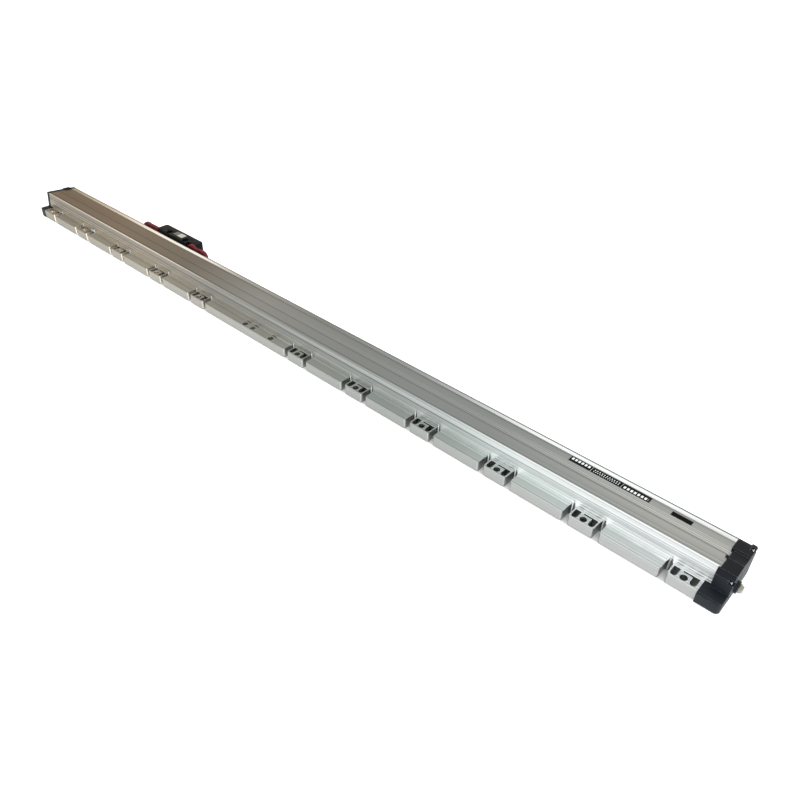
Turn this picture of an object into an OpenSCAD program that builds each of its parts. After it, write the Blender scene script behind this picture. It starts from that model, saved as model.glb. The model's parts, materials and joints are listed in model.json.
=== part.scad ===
// Sealed linear encoder with a glass scale: an aluminium extrusion with a bolting flange,
// and a scanning unit that slides along it.
// Frame: X along the housing, Y from the row of fixing holes towards the scanning unit,
// Z up from the mounting face. The origin is the centre fixing hole, on the mounting face.
// Every section below is drawn as [y, z] and swept along X.

/* [Scale] */
// Length over which the scale can be read
measuring_l = 1040; // [640:100:3040]
// Length of housing beyond the measuring length, both ends together
run_out = 104; // [94:2:160]
// Width of the glass strip
glass_w = 20; // [16:0.5:24]
// Thickness of the glass strip
glass_t = 4; // [2.5:0.1:4.4]

/* [Extrusion] */
// Height of the housing wall at its front top edge
wall_top = 34.5; // [33.5:0.1:36]
// Height of the bolting flange
flange_h = 12; // [9:0.5:14.5]
// From the row of fixing holes to the front of the flange
flange_front = 5.5; // [5:0.1:8]
// From the row of fixing holes to the back of the housing
housing_back = 59; // [58:0.5:72]
// Depth of the fine lines drawn along the extrusion
line_depth = 0.35; // [0.1:0.05:0.6]

/* [Bolting flange] */
// Distance between fixing holes
pitch = 100; // [80:5:200]
// Diameter of a fixing hole
hole_d = 7; // [5.5:0.1:7.4]
// Length of each sprung pad round a hole
pad_l = 27; // [25:0.5:34]
// Width of the notch on either side of a pad
notch_w = 6.2; // [4:0.1:8]
// Width of the pockets beside the hole
pocket_w = 6; // [3:0.1:6.2]
// Width of the slit behind the hole
slit_w = 1.6; // [0.8:0.1:2]

/* [End caps] */
// Thickness of the plate of the cap with the air connector
cap_t = 14; // [10:0.5:20]
// Thickness of the plate of the flat cap at the other end
flat_cap_t = 5; // [4.5:0.5:10]
// Thickness of the flat gasket under a cap
gasket_t = 1; // [0.5:0.1:2]
// Diameter of the cap screws' heads
cap_head_d = 3.8; // [3.4:0.1:4.6]

/* [Scanning unit] */
// Where the scanning unit stands along the housing at rest
unit_x = -288.5; // [-500:0.5:500]
// Length of the mounting block
block_l = 90; // [84:1:110]
// Gap between the housing and the mounting block
air_gap = 1; // [0.7:0.1:1.3]
// Depth of the mounting block, away from the housing
block_w = 19.5; // [19:0.5:26]
// Height of the block's top above the mounting face
block_top = 34; // [32:0.5:38]
// Distance between the block's two fixing holes
block_pitch = 40; // [36:1:44]
// Diameter of the block's fixing holes
block_hole_d = 6.6; // [5.5:0.1:7]
// Thickness of the web that reaches through the sealing lips
web_t = 1.6; // [1:0.1:2.4]

/* [Carriage] */
// Length of the scanning carriage
carriage_l = 64; // [60:1:90]
// Radius of the guide rollers
roller_r = 3; // [2.4:0.1:3.6]
// Width of the guide rollers
roller_w = 3; // [2:0.1:3.2]
// Radius of the roller pins
pin_r = 1; // [0.7:0.05:1.1]

/* [Clearances] */
// Gap left between a roller and the glass it runs on
rolling_gap = 0.04; // [0.02:0.01:0.06]
// Radial clearance of a roller on its pin
running = 0.03; // [0.02:0.01:0.06]
// Radial clearance round screws and pins that stand still
fit = 0.05; // [0.02:0.01:0.1]
// Clearance between the web and each sealing lip
lip_gap = 0.25; // [0.2:0.05:0.5]
// Clearance of the caps' skirts round the extrusion
skirt_gap = 0.1; // [0.05:0.05:0.3]

/* [Hidden] */
$fn = 48;

// Lengths
housing_half = (measuring_l + run_out) / 2;
cap_in = housing_half + gasket_t;
cap_out = cap_in + cap_t;
flat_out = cap_in + flat_cap_t;
glass_half = measuring_l / 2 + 25;

// Section of the housing: flange, leaning wall, sloping roof and rounded back edge
wall_foot_y = 9;
wall_lean = 2.8;
roof_y = housing_back - 8.5;
roof_fall = 3.5;
plate_bed_y = roof_y - 9.5;
plate_bed_d = 0.25;
band_w = housing_back - 1 - roof_y;
band_fall = 1.1;
foot_h = 0.5;
nose_r = 1;

// Cavity
web_z = 17;
cavity_front = 15.5;
cavity_back = housing_back - 4.5;
cavity_floor = 4.5;
roof_t = 4.4;
cavity_top = wall_top - roof_fall - roof_t;
ledge_w = 9;
ledge_top = 13.8;
bed_t = 0.2;
glass_y = cavity_front + 1.5;
glass_z = ledge_top + bed_t;
glass_edge = glass_y + glass_w;
glass_top = glass_z + glass_t;
slot_half = 6;
lip_groove_w = 2.3;
lip_groove_d = 2.5;

// Flange
holes_per_side = 1 + floor((housing_half - 7 - pad_l / 2 - pitch / 2) / pitch);
hole_xs = [for (side = [-1, 1], i = [0 : holes_per_side - 1]) side * (pitch / 2 + i * pitch)];
fixed_x = -pitch / 2;
pad_xs = [for (x = hole_xs) if (x != fixed_x) x];
last_hole = pitch / 2 + (holes_per_side - 1) * pitch;
flange_half = last_hole + pad_l / 2 + 1.3;
root_y = wall_foot_y + 0.95 - notch_w / 2;
pocket_back = wall_foot_y - 1.6;
pocket_front = -3.5;
pocket_in = pad_l / 2 - 1.5 - pocket_w;
centre_hole_xs = [fixed_x, fixed_x + 15, 0];

// Screw places on the end caps, in the section
cap_screws = [[wall_foot_y + 3.8, wall_top - 12.5], [housing_back - 4, wall_top - 6.3],
    [wall_foot_y + 3.4, 6],
    [housing_back - 7, 5.6]];
cap_core_r = 1;
cap_grip = 9;
air_y = 22;
air_z = 12;

// Scanning unit
block_front = housing_back + air_gap;
block_back = block_front + block_w;
block_floor = 6;
block_hole_y = block_front + 5.3;
travel = measuring_l / 2;
web_half = 15;
web_foot_t = 3;
web_foot_z = [10, 24];
web_screw_x = 10;
web_screw_z = 21;
pcb_room_y = block_back - 2 - 5.2;
socket_y = block_front + 12.5;
socket_r = 6.2;
room_x = [-block_l / 2 + 8, block_l / 2 - 20];
cover_t = 1.9;
cover_screw_xs = [room_x[0] - 2.8, room_x[1] + 2.8];

// Transport brackets
bracket_t = 4.4;
bracket_screw_x = block_l / 2 - 9;
bracket_screw_z = block_top - 7;
bracket_floor = block_top - 19;

// Carriage
edge_roller_y = glass_edge + roller_r + rolling_gap;
top_roller_z = glass_top + roller_r + rolling_gap;
arm_gap = 1.2;
arm_y = glass_y + ledge_w + 0.5;
carriage_top = cavity_top - 1.1;
carriage_floor = cavity_floor + 2.5;
carriage_back = cavity_back - 2.5;
roller_x = carriage_l / 2 - 11;
optics_y = arm_y + 5;
top_roller_y = optics_y;

// Sweep of a [y, z] section along X
module sweep(x0, x1) {
    translate([x0, 0, 0]) rotate([90, 0, 90]) linear_extrude(x1 - x0) children();
}

// Points on the leaning wall and on the roof
function wall(z) = [wall_foot_y + wall_lean * (z - flange_h) / (wall_top - flange_h), z];
function roof(y) = [y, wall_top - roof_fall * (y - wall(wall_top)[0]) / (roof_y - wall(wall_top)[0])];
function wall_share(z) = flange_h + z / 22.5 * (wall_top - flange_h);
function wall_line(z, w) = [wall(z - w / 2), wall(z) + [line_depth, 0], wall(z + w / 2)];
function roof_line(y, w) = [roof(y - w / 2), roof(y) - [0, line_depth], roof(y + w / 2)];
function arc(c, r, a0, a1, n) = [for (i = [0 : n])
    let (a = a0 + (a1 - a0) * i / n) c + r * [cos(a), sin(a)]];

// Moves every side of a closed anticlockwise outline outwards by d, or inwards when d is negative
function side_normal(a, b) = let (v = (b - a) / norm(b - a)) [v[1], -v[0]];
function grow(pts, d) = [for (i = [0 : len(pts) - 1])
    let (n = len(pts), before = side_normal(pts[(i + n - 1) % n], pts[i]),
        after = side_normal(pts[i], pts[(i + 1) % n]))
    pts[i] + d * (before + after) / (1 + before * after)];

band_end = [housing_back - nose_r, roof(roof_y)[1] - band_fall];

// Outline without its fine lines, for what seals or fits against it
plain_outline = [[-flange_front, 0], [housing_back, 0], band_end + [nose_r, -nose_r], band_end,
    roof(roof_y), wall(wall_top), wall(flange_h), [-flange_front, flange_h]];

housing_outline = concat(
    [[-flange_front + 0.6, 0], [wall_foot_y + 4, 0], [wall_foot_y + 5, foot_h],
        [housing_back - 10, foot_h],
     [housing_back - 9, 0], [housing_back - 1.5, 0],
     [housing_back, 1.5]],
    arc(band_end - [0, nose_r], nose_r, 0, 80, 4),
    [roof(roof_y) + [0, -0.1], roof(roof_y) + [-0.3, 0],
     roof(roof_y - 0.3) - [0, plate_bed_d], roof(plate_bed_y) - [0, plate_bed_d],
         roof(plate_bed_y - 0.3)],
    reverse(roof_line(roof_y - 13.2, 0.9)), reverse(roof_line(roof_y - 16.2, 0.9)),
    reverse(roof_line(roof_y - 20.5, 2.2)), reverse(roof_line(wall(wall_top)[0] + 2.2, 1)),
        arc(roof(wall(wall_top)[0] + 0.7) + [0, -0.6], 0.6, 85, 170, 4),
    reverse(wall_line(wall_share(20.3), 0.8)), reverse(wall_line(wall_share(14.6), 1.1)),
    reverse(wall_line(wall_share(12.2), 0.6)), reverse(wall_line(wall_share(8.6), 0.6)),
    reverse(wall_line(wall_share(4.4), 0.8)), reverse(wall_line(wall_share(1.8), 0.7)),
    [wall(flange_h), [-flange_front + 0.6, flange_h], [-flange_front, flange_h - 0.6],
        [-flange_front, 0.6]]);

function reverse(v) = [for (i = [len(v) - 1 : -1 : 0]) v[i]];

cavity_outline = [[cavity_front, ledge_top], [cavity_front + ledge_w, ledge_top],
    [cavity_front + ledge_w, cavity_floor], [cavity_back - 7, cavity_floor],
        [cavity_back, cavity_floor + 5.5],
    [cavity_back, cavity_top - 4], [cavity_back - 3, cavity_top],
    [cavity_front + 1, wall_top - roof_t]];

module lip_slot() {
    translate([cavity_back - 1, web_z - slot_half])
        square([housing_back - cavity_back + 2, 2 * slot_half]);
    translate([cavity_back + 1.1, web_z - slot_half - lip_groove_d])
        square([lip_groove_w, 2 * (slot_half + lip_groove_d)]);
}

// Notch between a pad and its neighbour: open at the front, with a round root that bites the wall
module notch(x) {
    translate([x, root_y, -1]) {
        cylinder(d = notch_w, h = flange_h + 12);
        translate([-notch_w / 2, -root_y - flange_front - 1, 0])
            cube([notch_w, root_y + flange_front + 1, flange_h + 12]);
    }
}

// Pocket beside a fixing hole: round at the front, square at the wall
module pocket(x) {
    translate([x, pocket_front + pocket_w / 2, -1]) {
        cylinder(d = pocket_w, h = flange_h + 2);
        translate([-pocket_w / 2, 0, 0])
            cube([pocket_w, pocket_back - pocket_front - pocket_w / 2, flange_h + 2]);
    }
}

module slit(x0, x1) {
    translate([x0, pocket_back - slit_w, -1]) cube([x1 - x0, slit_w, flange_h + 2]);
}

module pad_cuts(x) {
    translate([x, 0, -1]) cylinder(d = hole_d, h = flange_h + 2);
    for (side = [-1, 1]) {
        pocket(x + side * (pocket_in + pocket_w / 2));
        if (abs(x + side * pad_l / 2) < last_hole) notch(x + side * (pad_l + notch_w) / 2);
    }
    slit(x - pocket_in / 2, x + pocket_in + 1);
}

module housing() {
    color("#B9BBB8") difference() {
        sweep(-housing_half, housing_half) difference() {
            polygon(housing_outline);
            polygon(cavity_outline);
            lip_slot();
        }
        for (x = pad_xs) pad_cuts(x);
        for (x = centre_hole_xs) {
            translate([x, 0, -1]) cylinder(d = hole_d, h = flange_h + 2);
            slit(x - 4, x + 4);
        }
        for (side = [-1, 1]) {
            translate([side > 0 ? flange_half : -housing_half - 1, -flange_front - 1, -1])
                cube([housing_half - flange_half + 1, flange_front + 1 + wall_foot_y + 0.2,
                    flange_h + 6]);
            for (p = cap_screws) translate([side * (housing_half - cap_grip - 1 + 30), p[0], p[1]])
                rotate([0, 90, 0]) cylinder(r = cap_core_r + fit, h = 60, center = true);
        }
    }
}

module glass_scale() {
    color("#BFD3CF") translate([-glass_half, glass_y, glass_z])
        cube([2 * glass_half, glass_w, glass_t]);
}

module scale_adhesive() {
    color("#8A8F7C") translate([-glass_half, glass_y + 0.5, ledge_top])
        cube([2 * glass_half, ledge_w - 2.5, bed_t]);
}

// Elastomer lip: a bead held in the housing's groove and a tongue that leans in to the web
module lip_section() {
    tip = web_t / 2 + lip_gap;
    y = cavity_back + 1.1;
    polygon([[y + 0.1, slot_half + lip_groove_d - 0.1], [y + 0.1, slot_half],
        [y - 0.6, slot_half - 0.1],
        [y - 0.2, tip], [y + 0.5, tip], [y + lip_groove_w + 0.7, slot_half - 1.2],
        [y + lip_groove_w + 0.7, slot_half - 0.1], [y + lip_groove_w - 0.1, slot_half],
        [y + lip_groove_w - 0.1, slot_half + lip_groove_d - 0.1]]);
}

module upper_sealing_lip() {
    color("#1B1B1B") sweep(-housing_half, housing_half) translate([0, web_z]) lip_section();
}

module lower_sealing_lip() {
    color("#1B1B1B") sweep(-housing_half, housing_half) translate([0, web_z])
        mirror([0, 1]) lip_section();
}

// End caps. Both have a spigot in the cavity, a shoe that stands in for the last of the flange
// and a bore for sealing air. The right one is thick and faceted, with skirts over the housing's
// end and sunk screws. The left one is a flat plate.
shoe_front = -flange_front - 2.7;
shoe_top = flange_h + 1.2;
cap_outline = [[shoe_front, 0.8], [housing_back - 7, 0.8], [housing_back, 8],
    [housing_back, wall_top - 5.5],
    [housing_back - 7, wall_top + 1.1], [housing_back - 11.5, wall_top + 2.1],
        [housing_back - 21.4, wall_top + 1.8],
    [housing_back - 22.8, wall_top + 0.2], [wall_foot_y + 20, wall_top + 0.5],
        [wall_foot_y + 14.4, wall_top + 1.7],
    [wall_foot_y + 0.8, wall_top + 0.1], [wall_foot_y - 2.7, wall_top - 5.7],
        [wall_foot_y - 3, shoe_top], [shoe_front + 1.6, shoe_top - 0.3], [shoe_front, shoe_top - 1.9]];
shoe_outline = [[shoe_front, 0.8], [wall_foot_y, 0.8], [wall_foot_y, shoe_top],
    [wall_foot_y - 3, shoe_top],
    [shoe_front + 1.6, shoe_top - 0.3], [shoe_front, shoe_top - 1.9]];
flat_proud = 0.4;
flat_hump = [[housing_back - 22, wall_top - 4.5], [housing_back - 20.5, wall_top - 0.9],
    [housing_back - 9.5, wall_top - 1.6], [housing_back - 7, wall_top - 4.5]];
skirt_l = 1.5;
skirt_ys = [wall_foot_y + 1.4, housing_back - 22, housing_back - 7.1];
nib_y = wall_foot_y + 17;
screw_seat = 4.6;
collar_r = 4.8;
boss_r = 6;
boss_l = 2.5;

module spigot() {
    sweep(housing_half - 5, cap_in + 0.5) translate([0.3, 0.3])
        polygon([[cavity_front + ledge_w, cavity_floor],
        [cavity_back - 7.5, cavity_floor], [cavity_back - 1.5, cavity_floor + 6],
            [cavity_back - 1.5, cavity_top - 4],
        [cavity_back - 4, cavity_top - 0.8], [cavity_front + ledge_w, cavity_top - 0.8]]);
}

// What is cut away to round an upright outer corner
module corner_cut(out, y, r, h) {
    side = y > 20 ? -1 : 1;
    translate([out - r, y + side * r, -1]) difference() {
        translate([0, side > 0 ? -r - 1 : 0, 0]) cube([r + 1, r + 1, h]);
        translate([0, 0, -1]) cylinder(r = r, h = h + 2);
    }
}

module screw_bores() {
    for (p = cap_screws) translate([cap_in - 12, p[0], p[1]]) rotate([0, 90, 0])
        cylinder(r = cap_core_r + 0.3, h = cap_t + 20);
}

// Sealing air: bore, thread, cross channel on the inner face and a way through the spigot
module air_bores(out) {
    translate([cap_in, air_y, air_z]) rotate([0, 90, 0]) cylinder(r = 1.2, h = cap_t + 20);
    translate([out - 3.4, air_y, air_z]) rotate([0, 90, 0]) cylinder(r = 2.1 + fit, h = 20);
    translate([cap_in - 1, air_y - 1.2, air_z - 1.2]) cube([2, 6.5, 2.4]);
    translate([cap_in - 10, air_y + 5.1, air_z]) rotate([0, 90, 0]) cylinder(r = 1.2, h = 11.5);
}

module end_cap_right() {
    color("#25282C") difference() {
        union() {
            difference() {
                union() {
                    sweep(cap_in, cap_out) polygon(cap_outline);
                    sweep(flange_half + 0.2, cap_in) polygon(shoe_outline);
                }
                corner_cut(cap_out, shoe_front, 4.5, shoe_top + 2);
                corner_cut(cap_out, housing_back, 4.5, 50);
            }
            difference() {
                sweep(housing_half - skirt_l, cap_in) polygon(cap_outline);
                sweep(housing_half - skirt_l - 1, cap_in + 1) polygon(grow(plain_outline, skirt_gap));
                for (y = [[-20, 90, -1, flange_h + 1.2],
                    [skirt_ys[0], skirt_ys[1] - skirt_ys[0], 0, 50],
                        [skirt_ys[2], 30, 0, 50]])
                    translate([housing_half - skirt_l - 1, y[0], y[2]]) cube([skirt_l + 3, y[1], y[3]]);
            }
            spigot();
            // locating nib over the roof, collar of the upper back screw, and the air connection's boss
            translate([housing_half - 2.2, nib_y, roof(nib_y)[1] + 0.15]) cube([3.6, 1.4, 1.5]);
            translate([cap_out - 5.5, cap_screws[1][0], cap_screws[1][1]]) rotate([0, 90, 0]) {
                cylinder(r = collar_r, h = 4);
                translate([0, 0, 4]) cylinder(r1 = collar_r, r2 = collar_r - 0.7, h = 0.7);
            }
            translate([cap_out - 0.5, air_y, air_z]) rotate([0, 90, 0])
                cylinder(r = boss_r, h = boss_l + 0.5);
        }
        screw_bores();
        for (p = cap_screws) translate([cap_out - screw_seat, p[0], p[1]]) rotate([0, 90, 0])
            cylinder(d = cap_head_d + 1.2, h = 10);
        // both upper seats run out through the cap's edge
        for (p = [cap_screws[0], cap_screws[1]]) translate([cap_out - screw_seat + 0.1, p[0], p[1]])
            rotate([45, 0, 0]) translate([0, -(cap_head_d - 0.2) / 2, 0])
                cube([10, cap_head_d - 0.2, 14]);
        air_bores(cap_out + boss_l);
        translate([cap_out - 3.4, air_y, air_z]) rotate([0, 90, 0]) cylinder(r = 2.1 + fit, h = 20);
    }
}

module end_cap_left() {
    front = -flange_front - flat_proud;
    color("#25282C") mirror([1, 0, 0]) difference() {
        union() {
            difference() {
                union() {
                    sweep(cap_in, flat_out) {
                        intersection() {
                            polygon(grow(plain_outline, flat_proud));
                            translate([-50, 0.3]) square(200);
                        }
                        polygon(flat_hump);
                    }
                    sweep(flange_half + 0.2, cap_in) polygon([[front, 0.3], [wall_foot_y, 0.3],
                        [wall_foot_y, flange_h + flat_proud], [front, flange_h + flat_proud]]);
                }
                corner_cut(flat_out, front, 3.5, flange_h + 3);
                corner_cut(flat_out, housing_back + flat_proud, 3.5, 50);
            }
            spigot();
        }
        screw_bores();
        air_bores(flat_out);
    }
}

module end_gasket_right() {
    color("#151515") difference() {
        sweep(housing_half, cap_in) polygon(grow(plain_outline, -0.6));
        translate([housing_half - 1, cavity_front + ledge_w, cavity_floor])
            cube([5, cavity_back - cavity_front - ledge_w, cavity_top - cavity_floor - 0.1]);
        translate([housing_half - 1, -20, -1]) cube([5, 20 + wall_foot_y + 0.4, 18]);
        screw_bores();
    }
}

module end_gasket_left() {
    mirror([1, 0, 0]) end_gasket_right();
}

// Pan-head screw along X, its head on a seat at x, with a hexagon socket
module cap_screw(p, x) {
    translate([x, p[0], p[1]]) rotate([0, 90, 0]) difference() {
        union() {
            cylinder(d = cap_head_d, h = 2);
            translate([0, 0, 2]) cylinder(d1 = cap_head_d, d2 = cap_head_d - 1.2, h = 0.6);
            translate([0, 0, housing_half - cap_grip - x]) cylinder(r = cap_core_r,
                h = x - housing_half + cap_grip + 0.1);
        }
        translate([0, 0, 1.2]) cylinder(d = 2, h = 3, $fn = 6);
    }
}

module cap_screws_right() {
    color("#C9CACB") for (p = cap_screws) cap_screw(p, cap_out - screw_seat);
}

module cap_screws_left() {
    color("#C9CACB") mirror([1, 0, 0]) for (p = cap_screws) cap_screw(p, flat_out);
}

// Barbed screw-in connector for sealing air, with a hexagon to turn it by
module air_fitting() {
    color("#C9C7C0") translate([cap_out + boss_l, air_y, air_z]) rotate([0, 90, 0]) difference() {
        union() {
            translate([0, 0, -boss_l - 3]) cylinder(r = 2.1, h = boss_l + 3.1);
            cylinder(d = 9.2, h = 2.4, $fn = 6);
            translate([0, 0, 2.4]) cylinder(d = 7, h = 1);
            translate([0, 0, 3.4]) cylinder(d1 = 7, d2 = 6, h = 0.5);
        }
        translate([0, 0, -10]) cylinder(r = 1.2, h = 30);
    }
}

// Grub screw that closes the air connection not in use
module air_plug() {
    color("#B9BABB") translate([-flat_out, air_y, air_z]) rotate([0, 90, 0]) difference() {
        translate([0, 0, 0.3]) cylinder(r = 2.1, h = 3);
        translate([0, 0, -1]) cylinder(d = 2.4, h = 2.8, $fn = 6);
    }
}

// Thin printed plate on the bed milled along the roof
module roof_plate(x0, x1, y0, y1) {
    t = 0.2;
    sweep(x0, x1) polygon([for (p = [[y0, 0], [y1, 0], [y1, t], [y0, t]])
        roof(p[0]) + [0, p[1] - plate_bed_d + 0.01]]);
}

module type_plate() {
    color("#17181A") roof_plate(housing_half - 168, housing_half - 81.5, plate_bed_y + 0.7,
        plate_bed_y + 8.6);
}

module small_plate() {
    color("#101112") roof_plate(housing_half - 60, housing_half - 40, plate_bed_y + 0.7,
        plate_bed_y + 6.5);
}

// Mounting block: bored for two fixing screws, hollowed from below for its board
module mounting_block() {
    r = 5;
    recess_x = block_l / 2 - 17;
    color("#2A2B2B") difference() {
        translate([unit_x, 0, block_floor]) union() {
            translate([-block_l / 2 + r, block_front, 0])
                cube([block_l - 2 * r, block_w, block_top - block_floor]);
            translate([-block_l / 2, block_front + 3, 0])
                cube([block_l, block_w - 3 - r, block_top - block_floor]);
            for (side = [-1, 1]) translate([side * (block_l / 2 - r), block_back - r, 0])
                cylinder(r = r, h = block_top - block_floor);
            for (side = [-1, 1]) translate([side * (block_l / 2 - r), block_front + r, 0])
                cylinder(r = r, h = block_top - block_floor);
        }
        // long edges of the top
        translate([unit_x, block_back, block_top]) rotate([45, 0, 0])
            cube([block_l + 2, 1.6, 1.6], center = true);
        translate([unit_x, block_front, block_top]) rotate([45, 0, 0])
            cube([block_l + 2, 1.6, 1.6], center = true);
        // fixing holes with sunk heads
        for (side = [-1, 1]) translate([unit_x + side * block_pitch / 2, block_hole_y, 0]) {
            cylinder(d = block_hole_d, h = 60);
            translate([0, 0, block_top - 6.5]) cylinder(d = 9.2, h = 10);
        }
        // seat of the web, with its two threads
        translate([unit_x - web_half - 0.5, block_front - 1, web_foot_z[0] - 0.5])
            cube([2 * web_half + 1, web_foot_t + 2.2, web_foot_z[1] - web_foot_z[0] + 1]);
        for (side = [-1, 1]) translate([unit_x + side * web_screw_x, block_front, web_screw_z])
            rotate([-90, 0, 0])
            cylinder(r = 1.5 + fit, h = 10);
        // room for the board, and the rebate of its cover
        translate([unit_x + room_x[0], pcb_room_y, block_floor - 1])
            cube([room_x[1] - room_x[0], 5.2, 21]);
        translate([unit_x + room_x[0] - 5.5, pcb_room_y - 1.2, block_floor - 1])
            cube([room_x[1] - room_x[0] + 11, 7.6, 1 + cover_t + 0.1]);
        for (x = cover_screw_xs) translate([unit_x + x, pcb_room_y + 2.6, block_floor])
            cylinder(r = 1 + fit, h = 8);
        // socket
        translate([unit_x + block_l / 2 - 12, socket_y, web_z]) rotate([0, 90, 0])
            cylinder(r = socket_r, h = 20);
        // seat of the right transport bracket
        translate([unit_x + recess_x, block_front - 1, 0]) cube([block_l, bracket_t + 1.6, 60]);
        translate([unit_x + bracket_screw_x, block_front, bracket_screw_z]) rotate([-90, 0, 0])
            cylinder(r = 1.25 + fit, h = 12);
        translate([unit_x - block_l / 2 - 1, block_front + 9, bracket_screw_z]) rotate([0, 90, 0])
            cylinder(r = 1.25 + fit, h = 12);
    }
}

module block_cover() {
    color("#303131") difference() {
        translate([unit_x + room_x[0] - 5.4, pcb_room_y - 1.1, block_floor])
            cube([room_x[1] - room_x[0] + 10.8, 7.4, cover_t]);
        for (x = cover_screw_xs) translate([unit_x + x, pcb_room_y + 2.6, block_floor - 1]) {
            cylinder(r = 1.2, h = 4);
            cylinder(d = 4.2, h = 2.2);
        }
    }
}

module cover_screws() {
    color("#BFC0C1") for (x = cover_screw_xs) translate([unit_x + x, pcb_room_y + 2.6, block_floor])
        difference() {
        union() {
            cylinder(r = 1, h = 7);
            translate([0, 0, 0.1]) cylinder(d = 3.8, h = 1.1);
        }
        cylinder(d = 1.8, h = 0.8, $fn = 6);
    }
}

module interface_board() {
    color("#1E5B3A") translate([unit_x + room_x[0] + 1, pcb_room_y + 1.6, block_floor + cover_t])
        cube([room_x[1] - room_x[0] - 2, 1.6, 16]);
    color("#26272A") for (x = [room_x[0] + 8, room_x[0] + 26])
        translate([unit_x + x, pcb_room_y + 3.2, block_floor + 6]) cube([9, 1.2, 7]);
}

// Threaded sleeve sunk in the block's end, for the cable's connector
module cable_socket() {
    color("#9A9C9E") translate([unit_x + block_l / 2 - 12, socket_y, web_z]) rotate([0, 90, 0])
        difference() {
        cylinder(r = socket_r - fit, h = 11.5);
        translate([0, 0, 3]) cylinder(r = socket_r - 1.1, h = 12);
        translate([0, 0, -1]) cylinder(r = 3.6, h = 12);
    }
}

module socket_insert() {
    color("#1A1A1A") translate([unit_x + block_l / 2 - 12, socket_y, web_z]) rotate([0, 90, 0])
        difference() {
        union() {
            cylinder(r = 3.5, h = 7);
            translate([0, 0, 3]) cylinder(r = 4.4, h = 4);
        }
        for (a = [0 : 45 : 315]) rotate([0, 0, a]) translate([2.5, 0, 4])
            cylinder(d = 0.9, h = 4, $fn = 16);
    }
}

module unit_plate() {
    color("#C8C9C4") translate([unit_x - 11, block_front + 4.8, block_top]) cube([22, 9.4, 0.2]);
}

// Thin web through the lips, pointed at both ends like a blade, on a foot screwed to the block
module sealing_web() {
    nose = 6;
    color("#A9ABAD") difference() {
        union() {
            translate([unit_x, 0, web_z - web_t / 2]) linear_extrude(web_t)
                polygon([[-web_half, carriage_back - 4], [web_half, carriage_back - 4],
                    [web_half, cavity_back + 0.6],
                    [web_half - 3, cavity_back + 2.4], [web_half - 3, block_front + 1.2],
                        [-web_half + 3, block_front + 1.2],
                    [-web_half + 3, cavity_back + 2.4], [-web_half, cavity_back + 0.6]]);
            translate([unit_x - web_half, block_front + 0.2, web_foot_z[0]])
                cube([2 * web_half, web_foot_t + 1, web_foot_z[1] - web_foot_z[0]]);
        }
        for (side = [-1, 1]) translate([unit_x + side * web_screw_x, block_front - 1, web_screw_z])
            rotate([-90, 0, 0]) {
            cylinder(r = 1.5 + fit, h = 10);
            cylinder(r = 2.6, h = 3.2);
        }
    }
}

module web_screws() {
    color("#C2C3C4") for (side = [-1, 1])
        translate([unit_x + side * web_screw_x, block_front + 2.2, web_screw_z]) rotate([-90, 0, 0])
            difference() {
            union() {
                translate([0, 0, -0.1]) cylinder(r = 1.5, h = 7.6);
                translate([0, 0, -1.8]) cylinder(r = 2.4, h = 1.8);
            }
            translate([0, 0, -2]) cylinder(d = 2, h = 1.4, $fn = 6);
        }
}

// Fork that straddles the free edge of the glass
module scanning_carriage() {
    x0 = unit_x - carriage_l / 2;
    color("#8F9296") difference() {
        sweep(x0, x0 + carriage_l) polygon([[arm_y, carriage_floor],
            [carriage_back - 6, carriage_floor],
            [carriage_back, carriage_floor + 3.5], [carriage_back, carriage_top - 2.5],
            [carriage_back - 2.5, carriage_top], [arm_y, carriage_top]]);
        // mouth of the fork
        translate([x0 - 1, arm_y - 1, glass_z - arm_gap])
            cube([carriage_l + 2, glass_edge + 1.2 - arm_y + 1, glass_t + 2 * arm_gap]);
        // room for the rollers
        for (side = [-1, 1]) {
            translate([unit_x + side * roller_x - roller_r - 0.7,
                top_roller_y - roller_w / 2 - 0.25, glass_top])
                cube([2 * roller_r + 1.4, roller_w + 0.5, 12]);
            translate([unit_x + side * roller_x, edge_roller_y,
                glass_z + glass_t / 2 - roller_w / 2 - 0.25])
                cylinder(r = roller_r + 0.7, h = roller_w + 0.5);
            translate([unit_x + side * roller_x, edge_roller_y, carriage_floor + 3])
                cylinder(r = pin_r + fit, h = 12);
            translate([unit_x + side * roller_x, arm_y - 1, top_roller_z]) rotate([-90, 0, 0])
                cylinder(r = pin_r + fit, h = 10.5);
        }
        // light path, and the slot for the web
        translate([unit_x, optics_y, glass_top - 1]) cylinder(r = 3.6, h = 12);
        translate([unit_x - web_half - 0.2, carriage_back - 4.2, web_z - web_t / 2 - fit])
            cube([2 * web_half + 0.4, 8, web_t + 2 * fit]);
    }
}

// Lamp housing with its emitter
module light_unit() {
    color("#2F3134") translate([unit_x, optics_y, glass_top + arm_gap + 3.2]) difference() {
        cylinder(r = 3.55, h = 4.6);
        translate([0, 0, -1]) cylinder(r = 2.4, h = 3.4);
    }
    color("#E8E2C8") translate([unit_x, optics_y, glass_top + arm_gap + 4.6]) cylinder(r = 1.2, h = 1);
}

module condenser_lens() {
    color("#DDE8EA") translate([unit_x, optics_y, glass_top + arm_gap + 0.9]) {
        cylinder(r = 3.5, h = 1.2);
        translate([0, 0, 1.2]) cylinder(r1 = 3.1, r2 = 1.6, h = 0.8);
    }
}

module scanning_reticle() {
    color("#C9D6D8") translate([unit_x - 4, optics_y - 4, glass_top + arm_gap - 0.8]) cube([8, 8, 0.8]);
}

module detector_board() {
    color("#1E5B3A") translate([unit_x - 10, arm_y + 0.5, glass_z - arm_gap]) cube([20, 9.5, 0.6]);
}

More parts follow.
